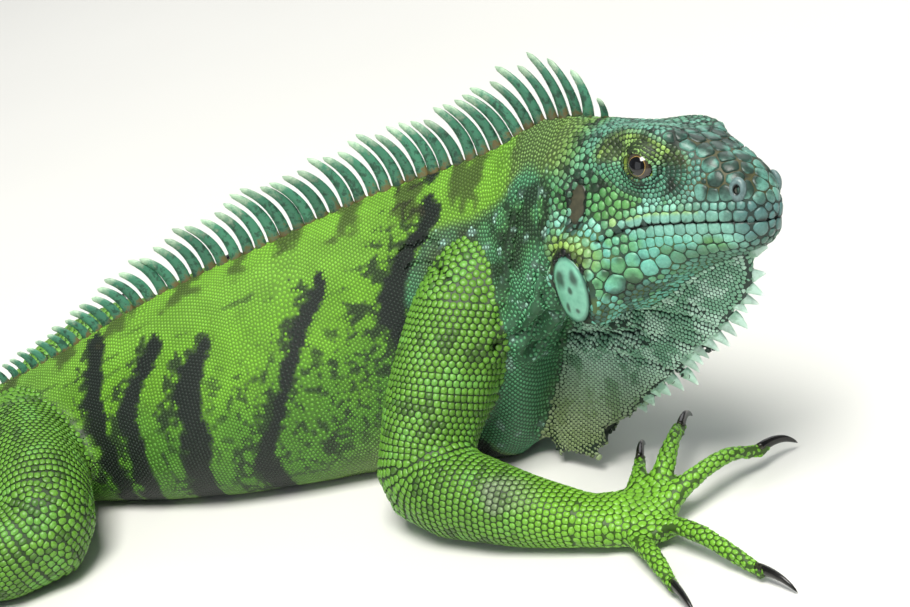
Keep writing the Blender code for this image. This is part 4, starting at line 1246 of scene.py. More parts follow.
def head_colours(points, lot):
    """Colours of the head, jaw and throat."""
    P = PALETTE
    local = folded(points)
    x, y, z = local.T
    coarse, fine = noise(points, 6.5, 21), noise(points, 2.6, 22)
    above_lip = z - np.interp(x, MOUTH[::-1, 0], MOUTH[::-1, 1])
    crown = ramp(x, -33, -25) * ramp(z, 1.5, 5.0)
    hide = blend(P["cheek"], P["aqua"], ramp(coarse + 0.35 * (lot - 0.5), 0.5, 0.7) * 0.8)
    top = ramp(z, 13, 17) * ramp(x, -24, -30)
    hide = painted(hide, {
        "leaf": ramp(coarse + 0.35 * (lot - 0.5), 0.5, 0.3) * 0.8,
        "temple": ramp(x, -42, -54) * ramp(z, -10, 2) * 0.7,
        "brow": top * 0.35,
        "crown": np.maximum(crown, top * ramp(x, -66, -56) * 0.75),
        "nape": ramp(x, -56, -70) * ramp(z, 2, 10) * 0.7,
        "snout": ramp(x, -26, -18) * ramp(z, 8, 3) * ramp(above_lip, 0, 3),
        "lip": ramp(abs(above_lip), 5.0, 3.4) * (x > -46) * 0.8,
        "slate": ramp(x, -9, -2) * ramp(z, 4.0, 0.0) * 0.75,
    })
    jaw = blend(P["jaw"], P["leaf"], ramp(coarse + 0.5 * (lot - 0.5), 0.55, 0.35) * 0.65)
    hide = blend(hide, jaw, ramp(z, -6, -10) * ramp(x, -14, -22))
    hide = blend(hide, P["chin"], ramp(above_lip, -5.5, -8.5) * ramp(x, -34, -16) * 0.8)
    q = eye_place(local)[0]
    lids = (y > 6) * ramp(q, 3.0, 2.3)
    hide = blend(hide, blend(P["lid"], P["yellow"], ramp(z - EYE[2], -1.0, 3.0) * 0.75), lids * 0.8)
    arc = np.exp(-((q - 2.5) / 0.35) ** 2) * (y > 6) * ramp(z - EYE[2], 0.0, 3.0)
    hide = blend(hide, P["yellow"], arc * 0.35)
    # Painted shade: the grooves between the lids' rings of wrinkles are darkened.
    groove = lids * ramp(lid_wave(q), 0.1, -0.9)
    hide = blend(hide, P["dark"], groove * 0.75)
    jowl = np.hypot((x - PLATE[0] + 1) / 10, (z - PLATE[2] - 10) / 5.5)
    hide = blend(hide, P["yellow"], ramp(jowl, 1.6, 0.7) * (z > PLATE[2]) * 0.75)
    stripe = np.exp(-((above_lip - 3.4) / 0.7) ** 2) * (x < -16) * (x > -46)
    hide = blend(hide, P["yellow"], stripe * 0.55)
    hide = hide * (0.80 + 0.34 * lot)[:, None]
    blot = ramp(0.65 * noise(points, 3.0, 23) + 0.35 * fine, 0.50, 0.62)
    spots = blot * np.maximum(np.maximum(crown * 0.85, top * 0.6), 0.5 * ramp(x, -20, -10) * ramp(above_lip, -1, 1))
    round_spots = ramp(noise(points, 3.0, 24), 0.71, 0.77) * np.maximum(ramp(x, -40, -46), ramp(z, 12, 15))
    round_spots *= ramp(z, -8, 0) * (q > 2.6) * 0.9
    jaw_spots = ramp(noise(points, 3.6, 25), 0.50, 0.64) * ramp(z, -13, -17) * ramp(x, -26, -34) * 0.75
    hide = blend(hide, P["dark"], np.maximum(np.maximum(spots, round_spots), jaw_spots))
    seam = blend(P["dark"], hide, 0.12)
    seam = blend(seam, P["ochre"] * 0.4, crown * ramp(x, -26, -21) * ramp(fine, 0.35, 0.6) * 0.6)
    seam = blend(seam, P["yellow"] * 0.5, ramp(z, -6, -10) * ramp(coarse, 0.5, 0.7) * 0.35 * ramp(x, -8, -16))
    # Painted shade, black: in the groove round the jowl plate, in the nostril's pit, round the sunk eardrum and along
    # the mouth's line.
    ring, close = oval_place(local, PLATE, PLATE_HALF, 9.0)
    black = ramp(abs(ring - 1.06), 0.13, 0.06) * close
    black = np.maximum(black, ramp(lengths(local - NOSTRIL), 2.0, 1.3))
    ring, close = oval_place(local, DRUM, DRUM_RIM)
    black = np.maximum(black, 0.85 * ramp(abs(ring - 1.10), 0.32, 0.12) * close)
    black = np.maximum(black, 0.9 * ramp(mouth_distance(local), 0.5, 0.25) * (x > -50))
    fleck = 0.25 + 0.35 * crown
    return blend(hide, P["black"], black), blend(seam, P["black"], black), fleck


def coat_colours(points, parts, lot):
    """Scale colour, rim colour and fleck strength at each point; lot is a random number from 0 to 1."""
    P = PALETTE
    place, angle, side = along_body(points)
    first = part_words[parts]
    middling = noise(points, 5.0, 2)
    hide, seam = trunk_colours(points, place, angle, side, lot)
    fleck = 0.15 + 0.2 * noise(points, 14.0, 1)

    tail_from = float(along_body(knots[4][None])[0][0])
    past = place - tail_from
    band = ramp(abs((past / TAIL_BAND + 0.15 * (middling - 0.5)) % 1.0 - 0.5), 0.30, 0.20)
    colour = blend(P["rear"], P["tail"], ramp(past, 0, 60))
    colour = blend(colour, P["tail dark"], band * ramp(past, 0, 40) * 0.85) * (0.8 + 0.4 * lot)[:, None]
    limb = blend(P["arm"], P["leaf"], ramp(middling, 0.6, 0.8) * 0.4) * (0.68 + 0.5 * middling + 0.1 * lot)[:, None]
    near_mauve = lengths((points - MAUVE_AT) / MAUVE_HALF)
    limb = blend(limb, P["mauve"], ramp(near_mauve + 0.5 * (middling - 0.5), 1.1, 0.6) * 0.75)
    limb = blend(limb, P["dark"], (noise(points, 3.2, 4) > 0.76) * 0.5)
    hand = P["hand"] * (0.82 + 0.3 * middling + 0.08 * lot)[:, None]
    rim = blend(P["dark"], limb, 0.12)
    for limb_line in limb_lines.values():
        close = ramp(lengths(points - limb_line[-10]), 34, 8)
        limb, rim = blend(limb, hand, close), blend(rim, hand * 0.20, close)
    low = ramp(points[:, 2], 48, 14)
    beads = blend(P["dewlap"], P["bead"], ramp(middling + 0.35 * lot, 0.5, 0.85))
    beads = blend(beads, P["dewlap low"], low * 0.8)
    throat = folded(points)
    beads = blend(beads, P["dewlap gap"], ramp(middling, 0.62, 0.8) * 0.45 * ramp(throat[:, 2], -40, -25))
    for words, own, rim in ((("tail",), colour, colour * 0.35),
                            (LIMB_WORDS, limb, rim), (HAND_WORDS, hand, hand * 0.20),
                            (("dewlap",), beads, blend(P["dewlap gap"], beads, 0.05))):
        chosen = np.isin(first, words)[:, None]
        hide, seam = np.where(chosen, own, hide), np.where(chosen, rim, seam)
    head = on_head(parts)
    own, rim, spots = head_colours(points, lot)
    into = head * ramp(folded(points)[:, 0], -74, -66)
    hide, seam = blend(hide, own, into), blend(seam, rim, into)
    return hide, seam, np.where(head, spots, fleck)


# %% [markdown]
# ## Scales
# Each scale is a low dome on its cell: a rim just under the skin, a shoulder, a crown and a flat underside.
# On limbs and tail it tilts so that its rear edge stands free over the next one. Head plates get twice as many
# sides and one more ring, because they are broad enough for their outlines to be read.

# %% Build the scales
GAP = 0.975
SUNK = 0.11
BROAD = 2.75
PATCH = 0.0015


def profile_for(parts, widths):
    """Height of the dome, tilt as a share of the radius, and how much of its cell a scale fills."""
    first = part_words[parts]
    on_hand = np.isin(first, HAND_WORDS)
    dome = np.where(on_head(parts), 0.16, 0.17)
    dome = np.where(first == "dewlap", 0.26, dome)
    dome = np.where(on_hand, 0.13, dome)
    dome = np.where(widths > BROAD, 0.11, dome)
    lean = np.where(on_hand | np.isin(first, LIMB_WORDS), 0.13, 0.0)
    lean = np.where(first == "tail", 0.10, lean)
    lean = np.where(np.isin(first, TRUNK[1:]), 0.04, lean)
    stretch = np.where(on_hand, 1.05, np.where(lean > 0.12, 1.0, GAP))
    return dome * np.minimum(widths, 4.0), lean, stretch


def tube_quads(sides, count):
    """Faces between neighbouring rings of points."""
    k = np.arange(sides)
    nxt = (k + 1) % sides
    return np.concatenate([np.zeros((0, 4), int)] + [
        np.column_stack([k + i * sides, nxt + i * sides, nxt + (i + 1) * sides, k + (i + 1) * sides])
        for i in range(count - 1)])


def scale_meshes(chosen, sides, rings):
    """Points, faces and per-point values of the chosen scales; rings are (share of radius, share of height)."""
    angles = circle(sides)
    radii, drops = outlines(chosen, neighbours[chosen], normals[chosen], rear[chosen], across[chosen], angles)
    height, lean, stretch = profile_for(parts[chosen], widths[chosen])
    ridge = ramp((-drops / radii ** 2).mean(axis=1), 0.14, 0.26)
    layers, edge = [], []
    cos, sin = np.cos(angles), np.sin(angles)
    for share, tall in rings:
        r = radii * share * stretch[:, None]
        up = height[:, None] * tall + drops * share ** 2 + lean[:, None] * r * cos - (SUNK if tall == 0 else 0)
        layers.append(seeds[chosen][:, None] + rear[chosen][:, None] * (r * cos)[..., None]
                      + across[chosen][:, None] * (r * sin)[..., None] + normals[chosen][:, None] * up[..., None])
        edge.append(np.full((len(chosen), sides), share))
    layers.append((seeds[chosen] + normals[chosen] * height[:, None])[:, None])
    edge.append(np.zeros((len(chosen), 1)))
    points = np.concatenate(layers, axis=1)
    edge = np.concatenate(edge, axis=1)
    each = points.shape[1]
    k = np.arange(sides)
    nxt = (k + 1) % sides
    quads = tube_quads(sides, len(rings))
    top = (len(rings) - 1) * sides
    caps = np.column_stack([k + top, nxt + top, np.full(sides, each - 1)])
    pattern = np.concatenate([quads.ravel(), caps.ravel(), k[::-1]])
    pattern_sides = [4] * len(quads) + [3] * sides + [sides]
    corners = (pattern[None] + each * np.arange(len(chosen))[:, None]).ravel()
    patch = np.concatenate([np.column_stack([cos, sin]) * share for share, _ in rings] + [np.zeros((1, 2))])
    return points, corners, np.tile(pattern_sides, len(chosen)), edge, each, patch, ridge


def unwrap(points, name):
    """A place on a flat layout of a part: along its line and round it, both from 0 to 1."""
    first = name.split("_")[0]
    if first == "dewlap":
        place = (points[:, 0] - points[:, 0].min()) / np.ptp(points[:, 0])
        turn = (points[:, 2] - points[:, 2].min()) / np.ptp(points[:, 2]) * 0.48
        return place, turn + 0.5 * (points[:, 1] > dewlap_middle)
    if first in HAND_WORDS:
        found = np.array([line_distance(points, digit_lines[f"claw_{name}_{number}"]) for number in range(1, 6)])
        best = found[:, 0].argmin(axis=0)
        place = found[best, 1, np.arange(len(points))]
        centre = points.mean(axis=0)
        turn = np.arctan2(points[:, 2] - 5.0, points[:, 1] - centre[1]) / (2 * math.pi) + 0.5
        return place, (best + 0.96 * turn) / 5
    if first in LIMB_WORDS:
        kind = "arm" if first in LIMB_WORDS[:2] else "leg"
        line = limb_lines[f"{kind}_{name.split('_')[-1]}"]
    elif first in HEAD_WORDS:
        local = to_head(points)
        return (-local[:, 0] + 2) / 90, np.arctan2(local[:, 1], local[:, 2]) / (2 * math.pi) + 0.5
    else:
        line = body_line
    tree = kd_tree(line)
    index = np.array([tree.find(point)[1] for point in points])
    _, side, rise = frame_along(line)
    away = points - line[index]
    turn = np.arctan2((away * side[index]).sum(1), (away * rise[index]).sum(1)) / (2 * math.pi) + 0.5
    place = index.astype(float)
    return (place - place.min()) / max(np.ptp(place), 1.0), turn


def add_uv(mesh, uv_points):
    layer = mesh.uv_layers.new(name="OFBake")
    layer.data.foreach_set("uv", uv_points[read_corners(mesh)].astype(np.float32).ravel())


def scale_piece(name, chosen, sides, rings):
    """One piece of coat: the chosen scales with their colours and flat layout."""
    points, corners, face_sides, edge, each, patch, ridge = scale_meshes(chosen, sides, rings)
    flat = points.reshape(-1, 3)
    flat[:, 2] = np.maximum(flat[:, 2], 0.1)
    item = mesh_object(name, flat, corners, face_sides)
    if sides > 8:
        numbers, luck = np.repeat(parts[chosen], each), np.repeat(lots[chosen], each)
        hide, seam, fleck = coat_colours(flat, numbers, luck)
    else:
        hide, seam, fleck = (np.repeat(values[chosen], each, axis=0) for values in scale_colours)
        seam = blend(seam, hide * 0.6, np.repeat(ridge, each))
    paint(item.data, hide, seam, fleck, edge.ravel() ** (4 if sides > 8 else 1))
    place, turn = unwrap(seeds[chosen], part_names[parts[chosen[0]]])
    centres = np.column_stack([place, turn]) * 0.99 + 0.005
    add_uv(item.data, (centres[:, None] + patch[None] * PATCH).reshape(-1, 2))
    return item


def paint(mesh, hide, seam, fleck, edge):
    for key, values in (("hide", hide), ("seam", seam)):
        set_attribute(mesh, key, "FLOAT_COLOR", np.column_stack([values, np.ones(len(values))]))
    set_attribute(mesh, "fleck", "FLOAT", fleck)
    set_attribute(mesh, "edge", "FLOAT", edge)


dewlap_middle = flesh["dewlap"][0][:, 1].mean()
lots = rng.random(len(seeds))
scale_colours = coat_colours(seeds, parts, lots)
GRAIN_RINGS = ((1.0, 0.0),)
RINGS = ((1.0, 0.0), (0.80, 0.66))
PLATE_RINGS = ((1.0, 0.0), (0.93, 0.55), (0.72, 0.93))
MOST, MOST_GRAINS = 6400, 18000
GRAINED = TRUNK
broad = (widths > BROAD) & of_head
coat = []
groups = {}
for index, name in enumerate(part_names):
    group = "head" if name.split("_")[0] in HEAD_WORDS[2:] else str(name)
    groups.setdefault(group, []).append(index)
for group, numbers in groups.items():
    chosen = np.flatnonzero(np.isin(parts, numbers) & ~broad)
    halves = {"": chosen}
    fine = group in GRAINED
    if len(chosen) > (MOST_GRAINS if fine else MOST):
        _, _, hand = along_body(seeds[chosen])
        halves = {"_right": chosen[hand > 0], "_left": chosen[hand <= 0]}
    for word, part_of in halves.items():
        if len(part_of):
            coat.append(scale_piece(f"scales_{group}{word}", part_of, 6 if fine else 8,
                                    GRAIN_RINGS if fine else RINGS))
coat.append(scale_piece("plates_head", np.flatnonzero(broad), 16, PLATE_RINGS))
total = sum(sum(len(p.vertices) - 2 for p in item.data.polygons) for item in coat)
print("coat pieces:", len(coat), "triangles:", total)

# %% [markdown]
# ## The skin's own colours and flat layout
# The skin shows between the scales and inside the lids, so it takes the rim colours of the same markings. It is
# laid flat by the same function as the scales.

# %% Colour the skin
skin_parts = parts_at(skin_points)
hide, seam, fleck = coat_colours(skin_points, skin_parts, np.full(len(skin_points), 0.5))
local = folded(skin_points)
near, q = lengths(local - EYE) < 12, eye_place(local)[0]
# The lids' margin is yellow; inside their opening the skin is painted black, painted shade between lid and eyeball.
seam = blend(seam, PALETTE["yellow"] * 0.55, near * ramp(q, 1.16, 1.04) * ramp(q, 0.90, 0.95))
seam = blend(seam, PALETTE["black"], near * ramp(q, 0.95, 0.90))
paint(skin.data, hide, seam, fleck, np.ones(len(skin_points)))
place, turn, _ = along_body(skin_points)
hand = np.where(skin_points[:, 1] > body_line[place.astype(int), 1], 1, -1)
add_uv(skin.data, np.column_stack([place / len(body_line), turn / (2 * math.pi) * hand + 0.5]))

# %% [markdown]
# ## Finishes
# Every finish is built from nodes. One helper adds a node, sets it and links what feeds it. Scale and skin share
# a finish: dull keratin with the rim colour drawn in at each scale's edge, dark flecks, and a fine bump.

# %% Materials
def add(tree, kind, feeds=(), **settings):
    """One node with its settings; feeds gives each input a value or the socket that feeds it."""
    item = tree.nodes.new(kind)
    for key, value in settings.items():
        setattr(item, key, value)
    for key, value in dict(feeds).items():
        if isinstance(value, bpy.types.NodeSocket):
            tree.links.new(value, item.inputs[key])
        else:
            item.inputs[key].default_value = value
    return item


def finish(name, roughness, coat=0.0, specular=0.5):
    material = bpy.data.materials.new(name)
    material.use_nodes = True
    tree = material.node_tree
    shader = tree.nodes["Principled BSDF"]
    shader.inputs["Roughness"].default_value = roughness
    shader.inputs["Coat Weight"].default_value = coat
    shader.inputs["Coat Roughness"].default_value = 0.03
    shader.inputs["Specular IOR Level"].default_value = specular
    return material, tree, shader


def rgba(colour):
    return (*colour, 1.0)


FACTOR, FIRST, SECOND = 0, 6, 7
MIXED = 2
OBJECT = "Object"


def mixed(tree, factor, first, second):
    return add(tree, "ShaderNodeMix", {FACTOR: factor, FIRST: first, SECOND: second},
               data_type="RGBA").outputs[MIXED]


def layered_finish(name, roughness, lump, detail, dark, pale, layers=()):
    """Two shades mixed by noise, then a colour wherever a value kept on the mesh has passed between two others."""
    material, tree, shader = finish(name, roughness)
    coords = add(tree, "ShaderNodeTexCoord").outputs[OBJECT]
    veil = add(tree, "ShaderNodeTexNoise", {"Vector": coords, "Scale": 1 / (lump * MM),
                                            "Detail": detail}).outputs["Fac"]
    colour = mixed(tree, veil, rgba(linear(dark)), rgba(linear(pale)))
    for key, low, high, code in layers:
        value = add(tree, "ShaderNodeAttribute", attribute_name=key).outputs["Fac"]
        share = add(tree, "ShaderNodeMapRange", {"Value": value, "From Min": low, "From Max": high}).outputs[0]
        colour = mixed(tree, share, colour, rgba(linear(code)))
    tree.links.new(colour, shader.inputs["Base Color"])
    return material


def scale_finish(name, roughness):
    material, tree, shader = finish(name, roughness)
    coords = add(tree, "ShaderNodeTexCoord").outputs[OBJECT]
    hide, seam = (add(tree, "ShaderNodeAttribute", attribute_name=key).outputs["Color"] for key in ("hide", "seam"))
    edge, fleck = (add(tree, "ShaderNodeAttribute", attribute_name=key).outputs["Fac"] for key in ("edge", "fleck"))
    mottle = add(tree, "ShaderNodeTexNoise", {"Vector": coords, "Scale": 1 / (1.1 * MM), "Detail": 2.0,
                                              "Roughness": 0.6}).outputs["Fac"]
    spots = add(tree, "ShaderNodeMapRange", {"Value": mottle, "From Min": 0.50, "From Max": 0.64}).outputs[0]
    spots = add(tree, "ShaderNodeMath", {0: spots, 1: fleck}, operation="MULTIPLY").outputs[0]
    darker = add(tree, "ShaderNodeHueSaturation", {"Color": hide, "Value": 0.42, "Saturation": 1.08}).outputs[0]
    body = mixed(tree, spots, hide, darker)
    pale = add(tree, "ShaderNodeMapRange", {"Value": mottle, "From Min": 0.44, "From Max": 0.34,
                                            "To Max": 0.35}).outputs[0]
    lighter = add(tree, "ShaderNodeHueSaturation", {"Color": hide, "Value": 1.45, "Saturation": 0.9}).outputs[0]
    body = mixed(tree, pale, body, lighter)
    rim = add(tree, "ShaderNodeMapRange", {"Value": edge, "From Min": 0.82, "From Max": 0.99}).outputs[0]
    tree.links.new(mixed(tree, rim, body, seam), shader.inputs["Base Color"])
    grain = add(tree, "ShaderNodeTexNoise", {"Vector": coords, "Scale": 1 / (0.3 * MM), "Detail": 2.0}).outputs["Fac"]
    bump = add(tree, "ShaderNodeBump", {"Height": grain, "Strength": 0.25, "Distance": 0.15 * MM}).outputs["Normal"]
    tree.links.new(bump, shader.inputs["Normal"])
    return material


# Lizard scale: keratin, waxy rather than wet.
scale_material = scale_finish("lizard scale", 0.40)
# Bare skin between the scales: duller and softer.
skin_material = scale_finish("lizard skin", 0.55)
for item in coat:
    item.data.materials.append(scale_material)
skin.data.materials.append(skin_material)

# %% [markdown]
# ## The crest
# The crest is a row of soft, flat spines that lean back. Each is modelled as rings that narrow slowly, end blunt
# and curve to the rear, and stands where the solids had the tip of a spine, more closely set than there. They
# are separate growths on the real animal too, with nothing between them but a low fold of skin.

# %% Crest spines
CREST_STEPS = (7.4, 5.2)
CREST_CURL = 0.55
SPINE_RINGS, SPINE_SIDES, SPINE_SUNK = 13, 12, 1.6


def swept(rings):
    """A closed tube through rings of points: faces between neighbours and a cap on each end."""
    rings = np.array(rings)
    count, sides = rings.shape[:2]
    quads, k = tube_quads(sides, count), np.arange(sides)
    last = (count - 1) * sides
    corners = np.concatenate([quads.ravel(), k[::-1], k + last])
    return rings.reshape(-1, 3), corners, [4] * len(quads) + [sides, sides]


def oval_ring(centre, axes, halves, share, sides):
    """Points of an oval of the given half sizes, drawn to a share of them."""
    turns = circle(sides)
    return (centre + np.outer(np.cos(turns), axes[0]) * halves[0] * share
            + np.outer(np.sin(turns), axes[1]) * halves[1] * share)


def horn(foot, tip, ahead, half_long, half_thick, curl, sunk, slim=0.5):
    """Rings of a flat, curved, blunt horn from under the skin at foot to its tip."""
    rise = tip - foot
    tall = np.linalg.norm(rise)
    rise = rise / tall
    lean = unit(ahead - rise * np.dot(ahead, rise))
    wide = np.cross(rise, lean)
    rings, shares = [], []
    for t in np.concatenate([[-sunk / tall], np.linspace(0, 1, SPINE_RINGS - 1) ** 0.75 * 0.985]):
        up = max(t, 0.0)
        narrow = 1.0 - slim * up
        if up > 0.86:
            narrow *= math.sqrt(max(1 - ((up - 0.86) / 0.127) ** 2, 0.02))
        centre = foot + rise * tall * t + lean * curl * tall * (up ** 2 - up)
        rings.append(oval_ring(centre, (lean, wide), (half_long, half_thick), narrow, SPINE_SIDES))
        shares.append(np.full(SPINE_SIDES, up))
    return rings, np.concatenate(shares)


def joined(name, shapes):
    """One mesh from many swept shapes, with how far up each point is and each shape's lot and place."""
    points, corners, sides, tall, lot, patch = [], [], [], [], [], []
    first = 0
    for index, (rings, shares) in enumerate(shapes):
        part, flat, count = swept(rings)
        points.append(part)
        corners.append(flat + first)
        sides += count
        first += len(part)
        tall.append(shares)
        lot.append(np.full(len(part), rng.random()))
        turns = circle(len(rings[0]))
        patch.append(np.concatenate([np.column_stack([np.cos(turns), np.sin(turns)]) * (1 - 0.9 * s[0])
                                     for s in shares.reshape(len(rings), -1)]) * PATCH
                     + ((index + 0.5) / len(shapes), 0.5))
    item = mesh_object(name, np.vstack(points), np.concatenate(corners), sides)
    set_attribute(item.data, "tall", "FLOAT", np.concatenate(tall))
    set_attribute(item.data, "lot", "FLOAT", np.concatenate(lot))
    add_uv(item.data, np.vstack(patch))
    return item


feet = np.array([tip[0] for tip in crest_tips])
tops = np.array([tip[1] for tip in crest_tips])
order = np.argsort(along_body(feet)[0])
feet, tops = feet[order], tops[order]
steps = steps_along(feet)
places = [1.0]
while places[-1] < steps[-1]:
    places.append(places[-1] + float(np.interp(places[-1], (0, 60), CREST_STEPS)) * (0.9 + 0.2 * rng.random()))
shapes = []
for place in places:
    foot, tip = part_way(place, steps, feet), part_way(place, steps, tops)
    ahead = unit(part_way(place + 3.0, steps, feet) - part_way(place - 3.0, steps, feet))
    foot = np.array(skin_tree.find_nearest(Vector(foot))[0])
    reach = (tip - foot) * (1.0 + 0.2 * rng.random())
    reach -= ahead * np.dot(reach, ahead) * 0.45 + ahead * (rng.random() - 0.5) * 1.6
    tall = np.linalg.norm(reach)
    shapes.append(horn(foot, foot + reach, ahead, min(2.6, 1.1 + tall * 0.11), min(1.3, 0.5 + 0.05 * tall),
                       CREST_CURL, SPINE_SUNK))
crest = joined("crest", shapes)
print("crest spines:", len(shapes))

# %% [markdown]
# ## The dewlap's spikes
# A row of pale triangular spikes edges the dewlap. They are the same horns as the crest's, short and straight.
# Each is rooted in the outermost point of the skin at its place along the edge.

# %% Beard spikes on the dewlap
BEARD_STEP = 5.5
BEARD_FINE = 0.25
BEARD_SHAPE = (2.3, 0.9, 0.12, 1.8, 0.88)  # half length, half thickness, curl, depth under the skin, slimming
dewlap_points = flesh["dewlap"][0]
edge = []
for x, z in beard_line[5:-4:2]:
    close = dewlap_points[(abs(dewlap_points[:, 2] - z) < 2.5) & (dewlap_points[:, 0] > x - 5)]
    if len(close):
        edge.append((x, close[:, 1].mean(), z))
edge = smooth_line(edge[::3], BEARD_FINE)
shapes, dewlap_kd = [], kd_tree(dewlap_points)
along = unit(np.gradient(edge, axis=0) * (1, 0, 1))
outward = np.cross(along, (0.0, -1.0, 0.0))
outward *= np.sign(outward[:, :1])
box = (skin_points[:, 0] > dewlap_points[:, 0].min()) & (skin_points[:, 2] > 20)
ridge = np.array([point for point in skin_points[box] if dewlap_kd.find(point)[2] < 3.5])
for place in np.arange(6, len(edge), BEARD_STEP / BEARD_FINE).astype(int):
    off = (ridge - edge[place]) * (1, 0, 1)
    level = ridge[abs(off @ along[place]) < 1.3]
    if edge[place, 2] < 22 or not len(level):
        continue
    foot = level[np.argmax((level - edge[place]) @ outward[place])] - outward[place] * 0.4
    tall = 5.4 - 1.2 * place / len(edge) + 0.9 * rng.random() if edge[place, 2] > 32 else 3.4
    way = unit(outward[place] + np.array([0.25, 0.0, -0.35]))
    shapes.append(horn(foot, foot + way * tall, np.array([0.0, 0.0, -1.0]), *BEARD_SHAPE))
beard = joined("beard_spikes", shapes)
print("beard spikes:", len(shapes))


def spine_finish(name, low, middle_colour, high, roughness, deep=0.35):
    material, tree, shader = finish(name, roughness)
    coords = add(tree, "ShaderNodeTexCoord").outputs[OBJECT]
    tall, lot = (add(tree, "ShaderNodeAttribute", attribute_name=key).outputs["Fac"] for key in ("tall", "lot"))
    mottle = add(tree, "ShaderNodeTexNoise", {"Vector": coords, "Scale": 1 / (2.4 * MM), "Detail": 3.0,
                                              "Roughness": 0.65}).outputs["Fac"]
    shifted = add(tree, "ShaderNodeMath", {0: mottle, 1: 0.7, 2: tall}, operation="MULTIPLY_ADD").outputs[0]
    root = add(tree, "ShaderNodeMapRange", {"Value": shifted, "From Min": 0.46, "From Max": 0.34}).outputs[0]
    end = add(tree, "ShaderNodeMapRange", {"Value": shifted, "From Min": 1.0, "From Max": 1.28}).outputs[0]
    dark = add(tree, "ShaderNodeMapRange", {"Value": mottle, "From Min": 0.50, "From Max": 0.62}).outputs[0]
    body = mixed(tree, dark, rgba(middle_colour), rgba(middle_colour * deep))
    body = mixed(tree, root, body, rgba(low))
    body = mixed(tree, end, body, rgba(high))
    shade = add(tree, "ShaderNodeMapRange", {"Value": lot, "To Min": 0.75, "To Max": 1.2}).outputs[0]
    body = add(tree, "ShaderNodeHueSaturation", {"Color": body, "Value": shade}).outputs[0]
    tree.links.new(body, shader.inputs["Base Color"])
    return material


# Crest: soft horn, teal-grey with brown roots and pale tips.
crest_material = spine_finish("crest horn", linear("#6b5f3a"), linear("#3f7d62"), linear("#a9c6a8"), 0.42)
crest.data.materials.append(crest_material)
# Beard: the same horn, nearly white.
beard_material = spine_finish("beard horn", linear("#8fb8a0"), linear("#bfe0d0"), linear("#e4f6ec"), 0.4, 0.8)
beard.data.materials.append(beard_material)

# %% [markdown]
# ## Eyes
# Each eye is a ball with a slight bulge over the pupil. Its rings of colour are drawn by the angle from its axis,
# kept on the mesh: black pupil, a thread of gold, a brown-grey iris and a dark rim. They could be rings of faces
# with materials of their own, but an angle gives soft, round edges.

# %% Eyes
EYE_SEGMENTS, EYE_RINGS = 64, 40
SIDES = (("right", -1.0), ("left", 1.0))


def make_eye(word, side):
    centre = node_centre(f"eye_{word}")
    gaze = unit(from_head((0.16, side, 0.05)) - head_at)
    bpy.ops.object.select_all(action="DESELECT")
    bpy.ops.mesh.primitive_uv_sphere_add(segments=EYE_SEGMENTS, ring_count=EYE_RINGS, radius=BALL * MM)
    ball = bpy.context.object
    ball.name = f"eyeball_{word}"
    ball.data.name = ball.name
    points = read_points(ball.data)
    way = unit(points)
    angle = np.arccos(np.clip(way[:, 2], -1, 1))
    bulge = BALL - 0.15 + 0.35 * ramp(angle, 0.75, 0.2)
    turn = np.array(Vector((0, 0, 1)).rotation_difference(Vector(gaze)).to_matrix())
    write_points(ball.data, centre + (way * bulge[:, None]) @ turn.T)
    ball.data.shade_smooth()
    set_attribute(ball.data, "gaze", "FLOAT", angle)
    for layer in list(ball.data.uv_layers):
        layer.name = "OFBake"
    return ball


# Eye: wet and glassy, so it has a clear coat over a smooth ball.
eye_material, tree, shader = finish("eye", 0.12, coat=0.6)
gaze = add(tree, "ShaderNodeAttribute", attribute_name="gaze").outputs["Fac"]
coords = add(tree, "ShaderNodeTexCoord").outputs[OBJECT]
fibre = add(tree, "ShaderNodeTexNoise", {"Vector": coords, "Scale": 1 / (0.45 * MM), "Detail": 3.0}).outputs["Fac"]
wobble = add(tree, "ShaderNodeMath", {0: fibre, 1: 0.03, 2: gaze}, operation="MULTIPLY_ADD").outputs[0]
colour = mixed(tree, fibre, rgba(linear("#1d1710")), rgba(linear("#544a38")))
past = add(tree, "ShaderNodeMapRange", {"Value": wobble, "From Min": 0.62, "From Max": 0.80}).outputs[0]
colour = mixed(tree, past, colour, rgba(linear("#15100c")))
for edge_at, soft, code in ((0.505, 0.015, "#a98b45"), (0.48, 0.012, "#020202")):
    inside = add(tree, "ShaderNodeMapRange", {"Value": wobble, "From Min": edge_at + soft,
                                              "From Max": edge_at}).outputs[0]
    colour = mixed(tree, inside, colour, rgba(linear(code)))
tree.links.new(colour, shader.inputs["Base Color"])
eyes = {f"eye_{word}": make_eye(word, side) for word, side in SIDES}
for ball in eyes.values():
    ball.data.materials.append(eye_material)

# %% [markdown]
# ## Jowl plates and eardrums
# Under each eardrum lies the great round plate of the jowl, pale and smooth, with a few dark blotches. The drum
# is a thin skin stretched in an oval ring. A ball pressed flat would do, but rings that narrow to the middle give
# a rim of any outline. Both lie on the planes found for them in the skin, in the seats that were sunk there.

